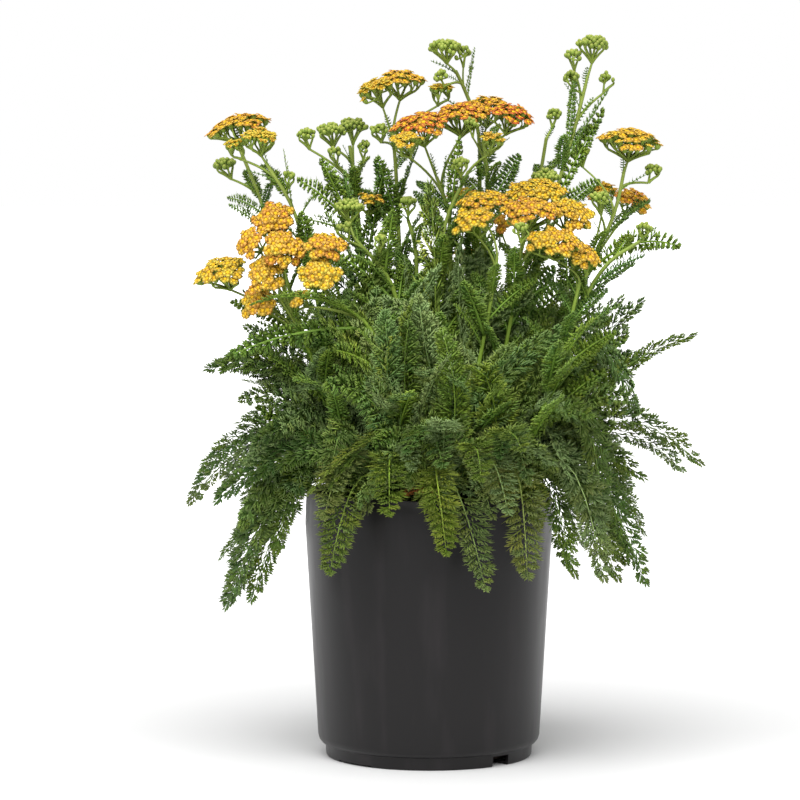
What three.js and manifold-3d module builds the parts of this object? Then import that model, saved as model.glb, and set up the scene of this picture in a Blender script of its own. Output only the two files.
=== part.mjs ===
// A yarrow (Achillea) in flower, standing in a one-gallon nursery pot.
// Millimetres, +Z up. The plant's front faces -Y. The origin is the centre of the pot's underside.
import * as THREE from "three";
import { mergeVertices } from "three/addons/utils/BufferGeometryUtils.js";
import Module from "manifold-3d";

const wasm = await Module();
wasm.setup();

// ---------------------------------------------------------------- driving dimensions

const GAP = 0.35;

const POT_HEIGHT = 178;
const POT_WALL = 1.8;
const POT_SIDES = 32;
const RIM_RADIUS = 81.6;
const SHOULDER_RADIUS = 82.6;
const BODY_RADIUS = 74.2;
const FOOT_RADIUS = 68.8;
const FOOT_HEIGHT = 8;
const CORNER = 6;

const SOIL_TOP = 166;
const SOIL_SIDES = 20;
const HOLE_RADIUS = 5;
const HOLE_DEPTH = 14;

const CROWN_HEIGHT = 11;
const STEM_RADIUS = 1.6;
const TWIG_RADIUS = 1;
const BLADE_THICKNESS = 0.65;
const SWEEP = 0.55;
const ROLL = 0.65;
const ROLL_TURNS_AT = 40;

const FLORET_PATCH = 52;
const BUD_PATCH = 34;
const CELL_RISE = 1.4;

// ---------------------------------------------------------------- small tools

const point = (x, y, z) => new THREE.Vector3(x, y, z);
const lerp = (a, b, share) => a + (b - a) * share;
const beyond = (origin, direction, distance) => origin.clone().addScaledVector(direction, distance);

function geometryOf(points, triangles) {
  const geometry = new THREE.BufferGeometry().setFromPoints(points);
  geometry.setIndex(triangles.flat());
  return geometry;
}

function solidOf(geometry) {
  geometry.deleteAttribute("normal");
  geometry.deleteAttribute("uv");
  const merged = mergeVertices(geometry, 1e-4);
  return new wasm.Manifold(
    new wasm.Mesh({
      numProp: 3,
      vertProperties: new Float32Array(merged.attributes.position.array),
      triVerts: new Uint32Array(merged.index.array),
    }),
  );
}

function geometryFrom(solid) {
  const { vertProperties, triVerts } = solid.getMesh();
  const geometry = new THREE.BufferGeometry();
  geometry.setAttribute("position", new THREE.BufferAttribute(vertProperties, 3));
  geometry.setIndex(new THREE.BufferAttribute(triVerts, 1));
  return geometry;
}

const joined = (solids) => solids.reduce((whole, next) => whole.add(next));

const biggestBody = (solid) => solid.decompose().sort((a, b) => b.volume() - a.volume())[0];

function boxesMeet(a, b) {
  const [boxA, boxB] = [a.boundingBox(), b.boundingBox()];
  return [0, 1, 2].every((axis) => boxA.min[axis] < boxB.max[axis] && boxB.min[axis] < boxA.max[axis]);
}

const cross = (a, b) => boxesMeet(a, b) && !a.intersect(b).isEmpty();

// The corners of a ring round an axis, the first one lying as near as it can to the given side.
function ringPoints(centre, axis, side, radius, sides) {
  const first = beyond(side, axis, -side.dot(axis)).normalize();
  const second = axis.clone().cross(first);
  return Array.from({ length: sides }, (_, k) => {
    const angle = (2 * Math.PI * k) / sides;
    return beyond(beyond(centre, first, radius * Math.cos(angle)), second, radius * Math.sin(angle));
  });
}

// A tapered rod through the points, with a radius at each and flat ends.
function rod(points, radii, sides) {
  const vertices = points.flatMap((centre, i) => {
    const ahead = points[Math.min(i + 1, points.length - 1)];
    const axis = ahead.clone().sub(points[Math.max(i - 1, 0)]).normalize();
    return ringPoints(centre, axis, point(0.31, 0.95, 0.05), radii[i], sides);
  });
  const triangles = [];
  const last = (points.length - 1) * sides;
  for (let k = 1; k < sides - 1; k += 1) triangles.push([0, k + 1, k], [last, last + k, last + k + 1]);
  for (let start = 0; start < last; start += sides)
    for (let k = 0; k < sides; k += 1) {
      const a = start + k;
      const b = start + ((k + 1) % sides);
      triangles.push([a, b, b + sides], [a, b + sides, a + sides]);
    }
  return solidOf(geometryOf(vertices, triangles));
}

// ---------------------------------------------------------------- pot and potting mix

function lathed(profile, sides) {
  const geometry = new THREE.LatheGeometry(profile.map(([r, z]) => new THREE.Vector2(r, z)), sides);
  return geometry.rotateX(Math.PI / 2);
}

// The moulded pot: a stepped foot, a rounded corner over it, tapered walls and a lip that turns in a little.
function potShell() {
  const cornerTop = FOOT_HEIGHT + CORNER;
  const outside = [
    [0, 0],
    [FOOT_RADIUS - 0.8, 0],
    [FOOT_RADIUS, 1],
    [FOOT_RADIUS + 0.5, FOOT_HEIGHT],
    [BODY_RADIUS - 2, FOOT_HEIGHT + 1.5],
    [BODY_RADIUS, cornerTop],
    [SHOULDER_RADIUS, POT_HEIGHT - 22],
    [RIM_RADIUS, POT_HEIGHT],
  ];
  const inside = [
    [RIM_RADIUS - POT_WALL, POT_HEIGHT],
    [SHOULDER_RADIUS - POT_WALL, POT_HEIGHT - 22],
    [BODY_RADIUS - POT_WALL, cornerTop],
    [FOOT_RADIUS - POT_WALL, FOOT_HEIGHT + POT_WALL],
    [FOOT_RADIUS - POT_WALL - 0.6, POT_WALL],
    [0, POT_WALL],
  ];
  return solidOf(lathed([...outside, ...inside], POT_SIDES));
}

// Three tall drain notches and a wide shallow one, cut into the foot. Turns are measured from +X.
function footNotches() {
  const notches = [
    { turn: -47, width: 14, height: 7 },
    { turn: 47, width: 14, height: 7 },
    { turn: 133, width: 14, height: 7 },
    { turn: 223, width: 32, height: 1.3 },
  ];
  const reach = 14;
  return notches.map(({ turn, width, height }) => {
    const box = new THREE.BoxGeometry(reach + 2, width, height + 1);
    box.translate(FOOT_RADIUS + 2 - reach / 2, 0, (height - 1) / 2);
    return solidOf(box.rotateZ(THREE.MathUtils.degToRad(turn)));
  });
}

// The top of the mix heaps towards the middle and is lumpy.
function soilHeight(x, y) {
  const heap = 5 * (1 - (Math.hypot(x, y) / RIM_RADIUS) ** 2);
  const lumps = Math.sin(x * 0.31 + 1.1) * Math.cos(y * 0.27) + 0.7 * Math.sin(y * 0.53 + x * 0.12);
  return SOIL_TOP - 4 + heap + lumps;
}

function pottingMix(feet) {
  const edge = RIM_RADIUS - POT_WALL - GAP;
  const inset = POT_WALL + GAP;
  const topRadii = [edge, 52, 24, 0];
  const profile = [
    [0, POT_WALL + GAP],
    [FOOT_RADIUS - inset - 8, POT_WALL + GAP],
    [FOOT_RADIUS - inset - 1, FOOT_HEIGHT + inset],
    [BODY_RADIUS - inset - 1, FOOT_HEIGHT + CORNER + 1],
    ...topRadii.map((radius) => [radius, SOIL_TOP]),
  ];
  const body = lathed(profile, SOIL_SIDES);
  const { position } = body.attributes;
  for (let i = 0; i < position.count; i += 1)
    if (position.getZ(i) > SOIL_TOP - 1) position.setZ(i, soilHeight(position.getX(i), position.getY(i)));
  const holes = feet.map(([x, y]) =>
    rod([point(x, y, SOIL_TOP - HOLE_DEPTH), point(x, y, SOIL_TOP + 12)], [HOLE_RADIUS, HOLE_RADIUS], 4),
  );
  return solidOf(body).subtract(joined(holes));
}

// ---------------------------------------------------------------- leaves

// Both sorts of leaf: the pairs of leaflets, the bare stalk's share, and the rib's half width at the root.
// The outline is how wide a leaf is at a share of its blade: it widens quickly and narrows slowly.
const BASAL_LEAF = { pairs: 5, stalk: 0.24, rootHalf: 1.2 };
const STEM_LEAF = { pairs: 4, stalk: 0.1, rootHalf: 0.8 };
const leafOutline = (share) => Math.sin(Math.PI * (0.06 + 0.9 * share) ** 0.8);

// A leaf's rib leaves the root, is drawn up over its middle by the lift, and ends at the tip.
function ribOf(root, tip, lift) {
  const middle = root.clone().lerp(tip, 0.5).add(point(0, 0, lift));
  return new THREE.QuadraticBezierCurve3(root, middle, tip);
}

// The points of a blade, each with its twin on the underside. Point n is at 2n and its twin at 2n + 1.
// A leaf that points to the side rolls so that its upper face turns to the nearer of the front and the back.
function bladePoints(rib, root, tip) {
  const outward = point(tip.x - root.x, tip.y - root.y, 0).normalize();
  const roll = ROLL * outward.x * (tip.y < ROLL_TURNS_AT ? 1 : -1);
  const points = [];
  const place = (share, across, raised) => {
    const forward = rib.getTangent(share);
    const level = point(-outward.y, outward.x, 0).applyAxisAngle(forward, roll);
    const up = forward.clone().cross(level);
    const top = beyond(beyond(rib.getPoint(share), level, across), up, raised);
    points.push(top, beyond(top, up, -BLADE_THICKNESS));
    return points.length / 2 - 1;
  };
  return { points, place };
}

// One thin arched blade cut to the rib: a bare stalk, then pairs of leaflets swept forwards and raised.
function leaf({ root, tip, lift, halfWidth, pairs, stalk, rootHalf }) {
  const rib = ribOf(root, tip, lift);
  const { points, place } = bladePoints(rib, root, tip);
  const shares = [0];
  for (let i = 0; i <= pairs; i += 1) shares.push(lerp(stalk, 0.96, i / pairs));
  const ribHalf = (share) => lerp(rootHalf, 0.5, share);
  const left = shares.map((share) => place(share, ribHalf(share), 0));
  const right = shares.map((share) => place(share, -ribHalf(share), 0));
  const end = place(1, 0, 0);
  const faces = [[left[0], right[0], right[1]], [left[0], right[1], left[1]]];
  const leftEdge = [left[0]];
  const rightEdge = [right[0]];
  for (let i = 1; i <= pairs; i += 1) {
    const reach = halfWidth * leafOutline((i - 0.5) / pairs);
    const share = Math.min((shares[i] + shares[i + 1]) / 2 + (SWEEP * reach) / rib.getLength(), 0.99);
    const tips = [1, -1].map((hand) => place(share, hand * reach, 0.3 * reach));
    faces.push([left[i], right[i], right[i + 1]], [left[i], right[i + 1], left[i + 1]]);
    faces.push([left[i], left[i + 1], tips[0]], [right[i + 1], right[i], tips[1]]);
    leftEdge.push(left[i], tips[0]);
    rightEdge.push(right[i], tips[1]);
  }
  faces.push([left.at(-1), right.at(-1), end]);
  return bladeSolid(points, faces, [...leftEdge, left.at(-1), end, right.at(-1), ...rightEdge.reverse()]);
}

// The faces of a blade on top, the same ones underneath, and a wall along its outline.
function bladeSolid(points, faces, outline) {
  const triangles = faces.flatMap(([a, b, c]) => [
    [2 * a, 2 * b, 2 * c],
    [2 * a + 1, 2 * c + 1, 2 * b + 1],
  ]);
  outline.forEach((a, i) => {
    const b = outline[(i + 1) % outline.length];
    triangles.push([2 * a, 2 * b, 2 * b + 1], [2 * a, 2 * b + 1, 2 * a + 1]);
  });
  return solidOf(geometryOf(points, triangles));
}

// ---------------------------------------------------------------- flower heads

const domeOf = ([across, deep]) => 1.5 + 0.15 * (across + deep);

// A head's own directions, from its tilts in degrees towards the front and towards +X, and its rim's centre.
function headFrame({ at, half, tilt }) {
  const [front, right] = tilt.map(THREE.MathUtils.degToRad);
  const up = point(Math.sin(right), -Math.sin(front) * Math.cos(right), Math.cos(front) * Math.cos(right));
  const across = beyond(point(1, 0, 0), up, -up.x).normalize();
  const origin = beyond(point(...at), up, -domeOf(half) / 2);
  return { up, across, back: up.clone().cross(across), origin };
}

// Whole rings of cells in a six-sided lattice. Counts that 3 divides lie round a corner, others round a cell.
const CELL_COUNTS = [1, 3, 6, 7, 12, 13, 18, 19, 27, 31, 37];

function latticeCells(wanted) {
  const count = CELL_COUNTS.reduce((best, n) => (Math.abs(n - wanted) < Math.abs(best - wanted) ? n : best));
  const shift = count % 3 === 0 ? 1 / Math.sqrt(3) : 0;
  const cells = [];
  for (let row = -5; row <= 5; row += 1)
    for (let column = -5; column <= 5; column += 1)
      cells.push([column + row / 2, (row * Math.sqrt(3)) / 2 + shift]);
  const distance = (cell) => Math.hypot(...cell);
  cells.sort((a, b) => distance(a) - distance(b));
  return cells.slice(0, count);
}

// The domed top of a head, one cell to each floret or bud: the middles stand up, and the corners lie low.
// Its border is a loop of edges, and each point is in one of three sectors round the middle.
function plateTop(head) {
  const { half, kind } = head;
  const { up, across, back, origin } = headFrame(head);
  const cells = latticeCells((Math.PI * half[0] * half[1]) / (kind === "bud" ? BUD_PATCH : FLORET_PATCH));
  const reach = Math.hypot(...cells.at(-1)) + 0.4;
  const points = [];
  const sectors = [];
  const known = new Map();
  const place = (u, v, rise) => {
    const key = `${Math.round(u * 1000)} ${Math.round(v * 1000)}`;
    if (!known.has(key)) {
      const height = domeOf(half) * (1 - Math.hypot(u, v) ** 2 / reach ** 2) + rise;
      const spot = beyond(beyond(origin, across, (u * half[0]) / reach), back, (v * half[1]) / reach);
      known.set(key, points.push(beyond(spot, up, height)) - 1);
      sectors.push(Math.floor((Math.atan2(v, u) / (2 * Math.PI) + 1.5) * 3) % 3);
    }
    return known.get(key);
  };
  const triangles = [];
  const border = new Map();
  cells.forEach(([u, v]) => {
    const middle = place(u, v, CELL_RISE);
    const corners = [1, 3, 5, 7, 9, 11].map((twelfth) => {
      const angle = (Math.PI * twelfth) / 6;
      return place(u + Math.cos(angle) / Math.sqrt(3), v + Math.sin(angle) / Math.sqrt(3), -CELL_RISE);
    });
    corners.forEach((a, k) => {
      const b = corners[(k + 1) % 6];
      triangles.push([middle, a, b]);
      if (!border.delete(`${b} ${a}`)) border.set(`${a} ${b}`, [a, b]);
    });
  });
  return { points, triangles, border: [...border.values()], sectors };
}

// An open head by itself: its underside tapers to a point.
function openHead(head) {
  const { points, triangles, border } = plateTop(head);
  const under = points.push(stalkEnd(head)) - 1;
  border.forEach(([a, b]) => triangles.push([b, a, under]));
  return solidOf(geometryOf(points, triangles));
}

// A head in bud: its underside gathers into a three-sided stalk that ends inside the stem.
function buddedHead(head, stemPoint) {
  const { points, triangles, border, sectors } = plateTop(head);
  const { up, across, back } = headFrame(head);
  const firstSector = across.multiplyScalar(-0.5).addScaledVector(back, -Math.sqrt(0.75));
  const stalk = stemPoint.clone().sub(stalkEnd(head)).negate().normalize();
  const neck = points.length;
  points.push(...ringPoints(stalkEnd(head), up, firstSector, TWIG_RADIUS, 3));
  points.push(...ringPoints(stemPoint, stalk, firstSector, TWIG_RADIUS, 3));
  border.forEach(([a, b]) => {
    const [from, to] = [neck + sectors[a], neck + sectors[b]];
    triangles.push([b, a, from]);
    if (from !== to) triangles.push([b, from, to]);
  });
  for (let k = 0; k < 3; k += 1) {
    const [a, b] = [neck + k, neck + ((k + 1) % 3)];
    triangles.push([b, a, a + 3], [b, a + 3, b + 3]);
  }
  triangles.push([neck + 3, neck + 5, neck + 4]);
  return solidOf(geometryOf(points, triangles));
}

const PLATE_DEPTH = 4.2;

// Where the underside of a head comes to its point, or a little short of it.
function stalkEnd(head, short = 0) {
  const { up, origin } = headFrame(head);
  return beyond(origin, up, -PLATE_DEPTH - short);
}

// The room that a head takes, with a gap all round, which leaves and stalks are kept out of.
function headRoom(head) {
  const { up, across, back, origin } = headFrame(head);
  const dome = domeOf(head.half);
  const profile = [
    [0, -PLATE_DEPTH - 0.1],
    [1, -2.4],
    [1.02, 0.6],
    [0.6, dome * 0.64 + 1.4],
    [0, dome + 1.8],
  ];
  const room = lathed(profile, 10).scale(head.half[0] + 1.6, head.half[1] + 1.6, 1);
  const turned = new THREE.Matrix4().makeBasis(across, back, up).setPosition(origin);
  return solidOf(room.applyMatrix4(turned));
}

// ---------------------------------------------------------------- what grows where

// A head: its middle, its half lengths across and back, its tilts towards the front and towards +X,
// and the share of its stem at which its branch leaves.
const head = (kind, at, half, tilt, from) => ({ kind, at, half, tilt, from });
const orange = (...rest) => head("orange", ...rest);
const yellow = (...rest) => head("yellow", ...rest);
const buds = (at, radius, from, tilt = [8, 0]) => head("bud", at, [radius, radius * 0.85], tilt, from);

// A leaf: its tip, how far its rib is drawn up, and its half width. On a stem, its share comes first.
const frond = (tip, lift, halfWidth) => ({ tip, lift, halfWidth });
const leafAt = (share, tip, lift, halfWidth) => ({ share, tip, lift, halfWidth });

// A shoot: its foot on the soil, its leaves from the crown, and its stems, each with the points that it runs
// through after the foot, up to where its branches start.
const SHOOTS = [
  {
    foot: [-48, 6],
    fronds: [
      frond([-158, -10, 171], 85, 15),
      frond([-140, 0, 262], 40, 14),
      frond([-121, 12, 285], 35, 14),
    ],
    stems: [
      {
        line: [[-112, 18, 369], [-127, 23, 406]],
        heads: [yellow([-127, 25, 423], [21, 16], [3, -12]), buds([-137, 17, 395], 7.5, 0.85, [8, -15])],
        leaves: [leafAt(0.8, [-134, 12, 372], 6, 7)],
      },
      {
        line: [[-89, -8, 362], [-107, -8, 394]],
        heads: [
          yellow([-111, -10, 413], [12, 11], [15, 5]),
          yellow([-130, 0, 407], [6.5, 6], [10, -20]),
          buds([-93, 0, 387], 4, 0.9),
        ],
        leaves: [leafAt(0.86, [-96, -14, 404], -2, 4), leafAt(0.6, [-84, -28, 362], 4, 9)],
      },
    ],
  },
  {
    foot: [-41, -30],
    fronds: [
      frond([-133, -40, 105], 107, 18),
      frond([-123, -30, 240], 50, 15),
      frond([-68, -95, 169], 75, 15),
    ],
    stems: [
      {
        line: [[-75, -30, 262], [-92, -28, 300]],
        heads: [
          yellow([-102, -32, 359], [13.5, 12], [55, -5]),
          yellow([-95, -50, 341], [11.5, 11], [62, 10]),
          yellow([-117, -38, 345], [8.5, 9.5], [55, -30]),
          orange([-108, -48, 323], [11.5, 12], [60, -12]),
          orange([-113, -38, 305], [10, 9], [65, -20]),
          yellow([-137, -25, 326], [17.5, 14], [32, -14], 0.95),
        ],
        leaves: [leafAt(0.55, [-88, -62, 255], 10, 9)],
      },
    ],
  },
  {
    foot: [-22, -44],
    fronds: [
      frond([-64, -105, 135], 72, 17),
      frond([-26, -122, 174], 65, 16),
      frond([-18, -100, 245], 45, 15),
    ],
    stems: [
      {
        line: [[-38, -50, 287], [-64, -50, 306]],
        heads: [
          yellow([-67, -60, 342], [14, 10.5], [50, 10]),
          yellow([-72, -68, 324], [15.5, 11.5], [60, 0]),
          yellow([-84, -45, 307], [6.5, 5.5], [60, -10], 0.8),
        ],
        leaves: [leafAt(0.8, [-130, -60, 271], 12, 11), leafAt(0.6, [-62, -84, 276], 6, 10)],
      },
    ],
  },
  {
    foot: [-30, 25],
    fronds: [frond([-64, 34, 335], 12, 14), frond([-92, 52, 296], 35, 15), frond([-112, 62, 232], 60, 15)],
    stems: [
      {
        line: [[-49, 24, 376], [-53, 22, 407]],
        heads: [
          buds([-82, 20, 415], 6, 0.97),
          buds([-66, 20, 418], 8.5),
          buds([-51, 30, 421], 8.5),
          buds([-63, 12, 403], 4, 0.97),
          buds([-43, 30, 407], 4, 0.95),
          orange([-40, 8, 372], [8.5, 6.5], [20, 0], 0.68),
        ],
        leaves: [
          leafAt(0.75, [-87, 14, 384], 8, 11),
          leafAt(0.6, [-68, -6, 362], 8, 11),
        ],
      },
    ],
  },
  {
    foot: [-7, -26],
    fronds: [frond([1, -40, 377], 0, 17), frond([-14, -76, 292], 25, 15)],
    stems: [
      {
        line: [[-19, -28, 294], [-28, -32, 322], [-48, -36, 345]],
        heads: [
          buds([-53, -30, 368], 9.5, 0.99, [15, 0]),
          buds([-55, -47, 354], 5.5),
          buds([-32, -42, 346], 4.5, 0.9),
        ],
        leaves: [leafAt(0.72, [-60, -10, 334], 8, 11)],
      },
    ],
  },
  {
    foot: [-13, 8],
    fronds: [frond([-34, -10, 340], 5, 15)],
    stems: [
      {
        line: [[-22, 26, 388], [-24, 20, 415]],
        heads: [
          orange([-16, 20, 452], [12, 11], [10, 8]),
          yellow([-37, 10, 446], [11, 10], [12, -25]),
          buds([-33, 2, 418], 6, 0.95),
          yellow([8, 32, 445], [8, 6.5], [5, 0], 0.95),
        ],
        leaves: [leafAt(0.75, [-34, 2, 398], 2, 9)],
      },
      { line: [[-9, -8, 338], [-14, -14, 358]], heads: [buds([-14, -20, 370], 6)] },
    ],
  },
  {
    foot: [7, -4],
    fronds: [frond([36, -12, 322], 15, 15)],
    stems: [
      {
        line: [[13, 4, 361], [5, 2, 386]],
        heads: [
          orange([-7, -15, 423], [17, 13], [18, -12]),
          orange([21, 3, 430], [16, 13], [15, -5]),
          yellow([-15, -37, 411], [11, 9.5], [22, -5]),
        ],
        leaves: [leafAt(0.75, [-6, 18, 372], 4, 9)],
      },
    ],
  },
  {
    foot: [18, 27],
    fronds: [frond([10, 62, 330], 12, 15), frond([44, 66, 290], 30, 15)],
    stems: [
      {
        line: [[34, 42, 412], [27, 40, 438], [18, 31, 457]],
        heads: [buds([11, 28, 473], 10), buds([23, 32, 470], 5.5), buds([8, 24, 454], 5.5, 0.96)],
        leaves: [leafAt(0.93, [31, 36, 472], 2, 3.5)],
      },
      {
        line: [[39, 16, 382], [36, 14, 410]],
        heads: [
          yellow([39, 20, 435], [14.5, 12], [12, 0]),
          orange([56, 4, 429], [12.5, 12], [15, 15]),
          buds([28, -10, 422], 5),
        ],
        leaves: [leafAt(0.8, [60, 20, 400], 2, 9)],
      },
    ],
  },
  {
    foot: [7, -64],
    fronds: [
      frond([7, -112, 227], 42, 15),
      frond([35, -117, 126], 78, 15),
      frond([10, -130, 150], 75, 15),
      frond([8, -92, 288], 12, 14),
    ],
    stems: [
      {
        line: [[10, -10, 352], [26, -13, 390]],
        heads: [
          yellow([41, -26, 412], [8, 7.5], [15, 0]),
          buds([21, -24, 396], 6),
          orange([22, 18, 375], [9, 8], [15, -10], 0.74),
        ],
      },
    ],
  },
  {
    foot: [30, -26],
    fronds: [frond([49, -122, 176], 62, 15), frond([58, -118, 214], 50, 15), frond([52, -78, 278], 30, 15)],
    stems: [
      {
        line: [[57, -26, 313], [61, -25, 342]],
        heads: [
          orange([72, -10, 378], [18.5, 14.5], [28, 5]),
          orange([65, -46, 366], [17, 12], [30, 0]),
          orange([95, -30, 364], [13.5, 12], [30, 18]),
          orange([47, -8, 355], [6, 6], [50, -10], 0.8),
          buds([59, -72, 354], 5.5),
        ],
        leaves: [leafAt(0.75, [88, -40, 318], 8, 10)],
      },
    ],
  },
  {
    foot: [12, -46],
    fronds: [frond([32, -127, 196], 55, 14)],
    stems: [
      {
        line: [[40, -44, 306], [44, -45, 334]],
        heads: [orange([33, -30, 371], [16, 12], [22, -8]), orange([29, -56, 360], [12.5, 10], [30, -10])],
        leaves: [leafAt(0.7, [22, -66, 318], 6, 10)],
      },
    ],
  },
  {
    foot: [39, 26],
    fronds: [
      frond([143, 34, 301], 30, 14),
      frond([128, 2, 304], 25, 13),
      frond([146, 56, 262], 45, 14),
      frond([96, 62, 300], 25, 15),
    ],
    stems: [
      {
        line: [[75, 32, 386], [79, 28, 412]],
        heads: [buds([84, 35, 428], 5.5), buds([78, 10, 387], 9, 0.82, [20, 0])],
      },
      {
        line: [[84, 22, 371], [97, 24, 416], [105, 24, 448]],
        heads: [
          buds([110, 25, 475], 10),
          buds([97, 25, 468], 6),
          buds([95, 18, 453], 6, 0.97),
          buds([119, 30, 452], 5.5, 0.9),
        ],
        leaves: [
          leafAt(0.84, [97, 14, 451], 0, 4),
          leafAt(0.8, [119, 18, 443], 4, 4.5),
        ],
      },
    ],
  },
  {
    foot: [57, -4],
    fronds: [
      frond([176, 8, 280], 32, 9),
      frond([178, -26, 198], 80, 13),
      frond([152, 26, 222], 62, 14),
      frond([132, -52, 241], 45, 14),
      frond([144, 16, 147], 92, 15),
      frond([118, -14, 298], 22, 14),
    ],
    stems: [
      {
        line: [[99, 5, 306], [124, 8, 363], [130, 8, 390]],
        heads: [
          yellow([134, 8, 412], [20, 17], [3, 4]),
          buds([149, 5, 391], 6),
          yellow([117, 45, 377], [10.5, 9.5], [18, -10], 0.64),
          orange([138, 35, 372], [13.5, 11.5], [25, 20], 0.68),
          buds([113, -6, 373], 6.5, 0.8),
          buds([102, 28, 403], 6, 0.86),
        ],
        leaves: [leafAt(0.7, [164, -20, 339], 14, 9), leafAt(0.55, [92, 30, 342], 6, 10)],
      },
      { line: [[100, -36, 303], [118, -34, 331], [138, -28, 344]], heads: [buds([141, -26, 353], 5)] },
    ],
  },
  {
    foot: [46, -42],
    fronds: [
      frond([141, -50, 122], 102, 15),
      frond([112, -80, 128], 98, 15),
      frond([62, -108, 134], 85, 16),
      frond([104, -72, 232], 50, 15),
    ],
    stems: [
      {
        line: [[85, -45, 267], [98, -46, 318]],
        heads: [orange([82, -60, 346], [16, 11.5], [40, 12]), orange([100, -50, 337], [11.5, 10], [40, 25])],
        leaves: [leafAt(0.65, [108, -66, 296], 6, 10)],
      },
    ],
  },
  {
    foot: [2, 54],
    fronds: [
      frond([-22, 148, 168], 78, 16),
      frond([16, 138, 236], 52, 16),
      frond([-12, 108, 292], 30, 15),
      frond([28, 142, 112], 98, 15),
    ],
    stems: [
      { line: [[14, 66, 292], [26, 70, 312]], heads: [orange([30, 74, 332], [12, 10], [-25, 5])] },
    ],
  },
  {
    foot: [-46, 42],
    fronds: [
      frond([-138, 62, 176], 78, 16),
      frond([-82, 128, 190], 72, 16),
      frond([-58, 134, 116], 98, 15),
      frond([-88, 96, 276], 38, 15),
    ],
    stems: [
      { line: [[-60, 62, 300], [-66, 68, 322]], heads: [buds([-68, 70, 334], 8, 0.99, [-20, 0])] },
    ],
  },
  {
    foot: [46, 50],
    fronds: [
      frond([138, 72, 170], 80, 16),
      frond([84, 128, 182], 76, 16),
      frond([74, 118, 256], 42, 15),
      frond([96, 112, 116], 98, 15),
    ],
    stems: [
      { line: [[62, 70, 298], [70, 74, 318]], heads: [yellow([74, 76, 332], [10, 8], [-25, 5])] },
    ],
  },
];

// ---------------------------------------------------------------- shoots

const STEM_STEPS = 4;

// The middle line of a stem, as the corners of its rod.
function stemCorners([x, y], line) {
  const curve = new THREE.CatmullRomCurve3([[x, y, SOIL_TOP], ...line].map((p) => point(...p)));
  return Array.from({ length: STEM_STEPS + 1 }, (_, i) => curve.getPoint(i / STEM_STEPS));
}

// The point at a share of the length along the corners.
function pointAlong(corners, share) {
  const path = new THREE.CurvePath();
  corners.slice(1).forEach((corner, i) => path.add(new THREE.LineCurve3(corners[i], corner)));
  return path.getPoint(share);
}

// The green of a shoot in one solid: crown, leaves, stems, branches and heads still in bud.
function shootSolid({ foot: [x, y], fronds, stems }) {
  const crownTop = SOIL_TOP + CROWN_HEIGHT;
  const inHole = HOLE_RADIUS - GAP * Math.SQRT2;
  const crown = rod([point(x, y, SOIL_TOP - HOLE_DEPTH + GAP), point(x, y, crownTop)], [inHole, 3], 4);
  const solids = [crown];
  const steepness = ({ tip, lift }) => (tip[2] + 2 * lift - crownTop) / Math.hypot(tip[0] - x, tip[1] - y);
  fronds.sort((a, b) => steepness(b) - steepness(a));
  fronds.forEach(({ tip, lift, halfWidth }, i) => {
    const outward = point(tip[0] - x, tip[1] - y, 0).normalize();
    const root = beyond(point(x, y, crownTop - 1.5 - 1.7 * i), outward, 1.5);
    solids.push(leaf({ root, tip: point(...tip), lift, halfWidth, ...BASAL_LEAF }));
  });
  stems.forEach(({ line, heads, leaves = [] }) => {
    const corners = stemCorners([x, y], line);
    solids.push(rod(corners, corners.map((_, i) => lerp(STEM_RADIUS, TWIG_RADIUS, i / STEM_STEPS)), 4));
    heads.forEach((one, i) => {
      const stemPoint = pointAlong(corners, one.from ?? 0.99 - 0.045 * i);
      if (one.kind === "bud") solids.push(buddedHead(one, stemPoint));
      else solids.push(rod([stemPoint, stalkEnd(one, 0.8)], [TWIG_RADIUS, TWIG_RADIUS], 3));
    });
    leaves.forEach(({ share, tip, lift, halfWidth }) => {
      const root = pointAlong(corners, share);
      solids.push(leaf({ root, tip: point(...tip), lift, halfWidth, ...STEM_LEAF }));
    });
  });
  return joined(solids);
}

// ---------------------------------------------------------------- putting it together

// Joins the entries whose solids cross, until none do.
function joinWhereCrossing(entries) {
  const apart = [];
  entries.forEach((entry) => {
    let { solid } = entry;
    for (let i = apart.length - 1; i >= 0; i -= 1)
      if (cross(apart[i].solid, solid)) {
        solid = apart[i].solid.add(solid);
        apart.splice(i, 1);
        i = apart.length;
      }
    apart.push({ ...entry, solid });
  });
  return apart;
}

const MATERIALS = {
  pot: { color: "#343236", roughness: 0.45 },
  mix: { color: "#3a2618", roughness: 0.95 },
  green: { color: "#4c7a34", roughness: 0.6 },
  yellow: { color: "#f2b92c", roughness: 0.6 },
  orange: { color: "#ec7a3c", roughness: 0.6 },
};

function meshOf(name, solid, material) {
  const surface = new THREE.MeshStandardMaterial({ metalness: 0, ...material });
  const mesh = new THREE.Mesh(geometryFrom(solid), surface);
  mesh.name = name;
  return mesh;
}

const heads = SHOOTS.flatMap(({ stems }) => stems.flatMap((stem) => stem.heads));
const openHeads = heads.filter(({ kind }) => kind !== "bud");
const blooms = joinWhereCrossing(openHeads.map((one) => ({ solid: openHead(one), kind: one.kind })));
const rooms = openHeads.map(headRoom);
const shoots = joinWhereCrossing(SHOOTS.map((shoot) => ({ solid: shootSolid(shoot) })));

function clearOfBlooms(solid) {
  const near = rooms.filter((room) => boxesMeet(room, solid));
  return near.length ? biggestBody(solid.subtract(joined(near))) : solid;
}

const numbered = (name, index) => `${name}_${String(index + 1).padStart(2, "0")}`;

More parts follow.
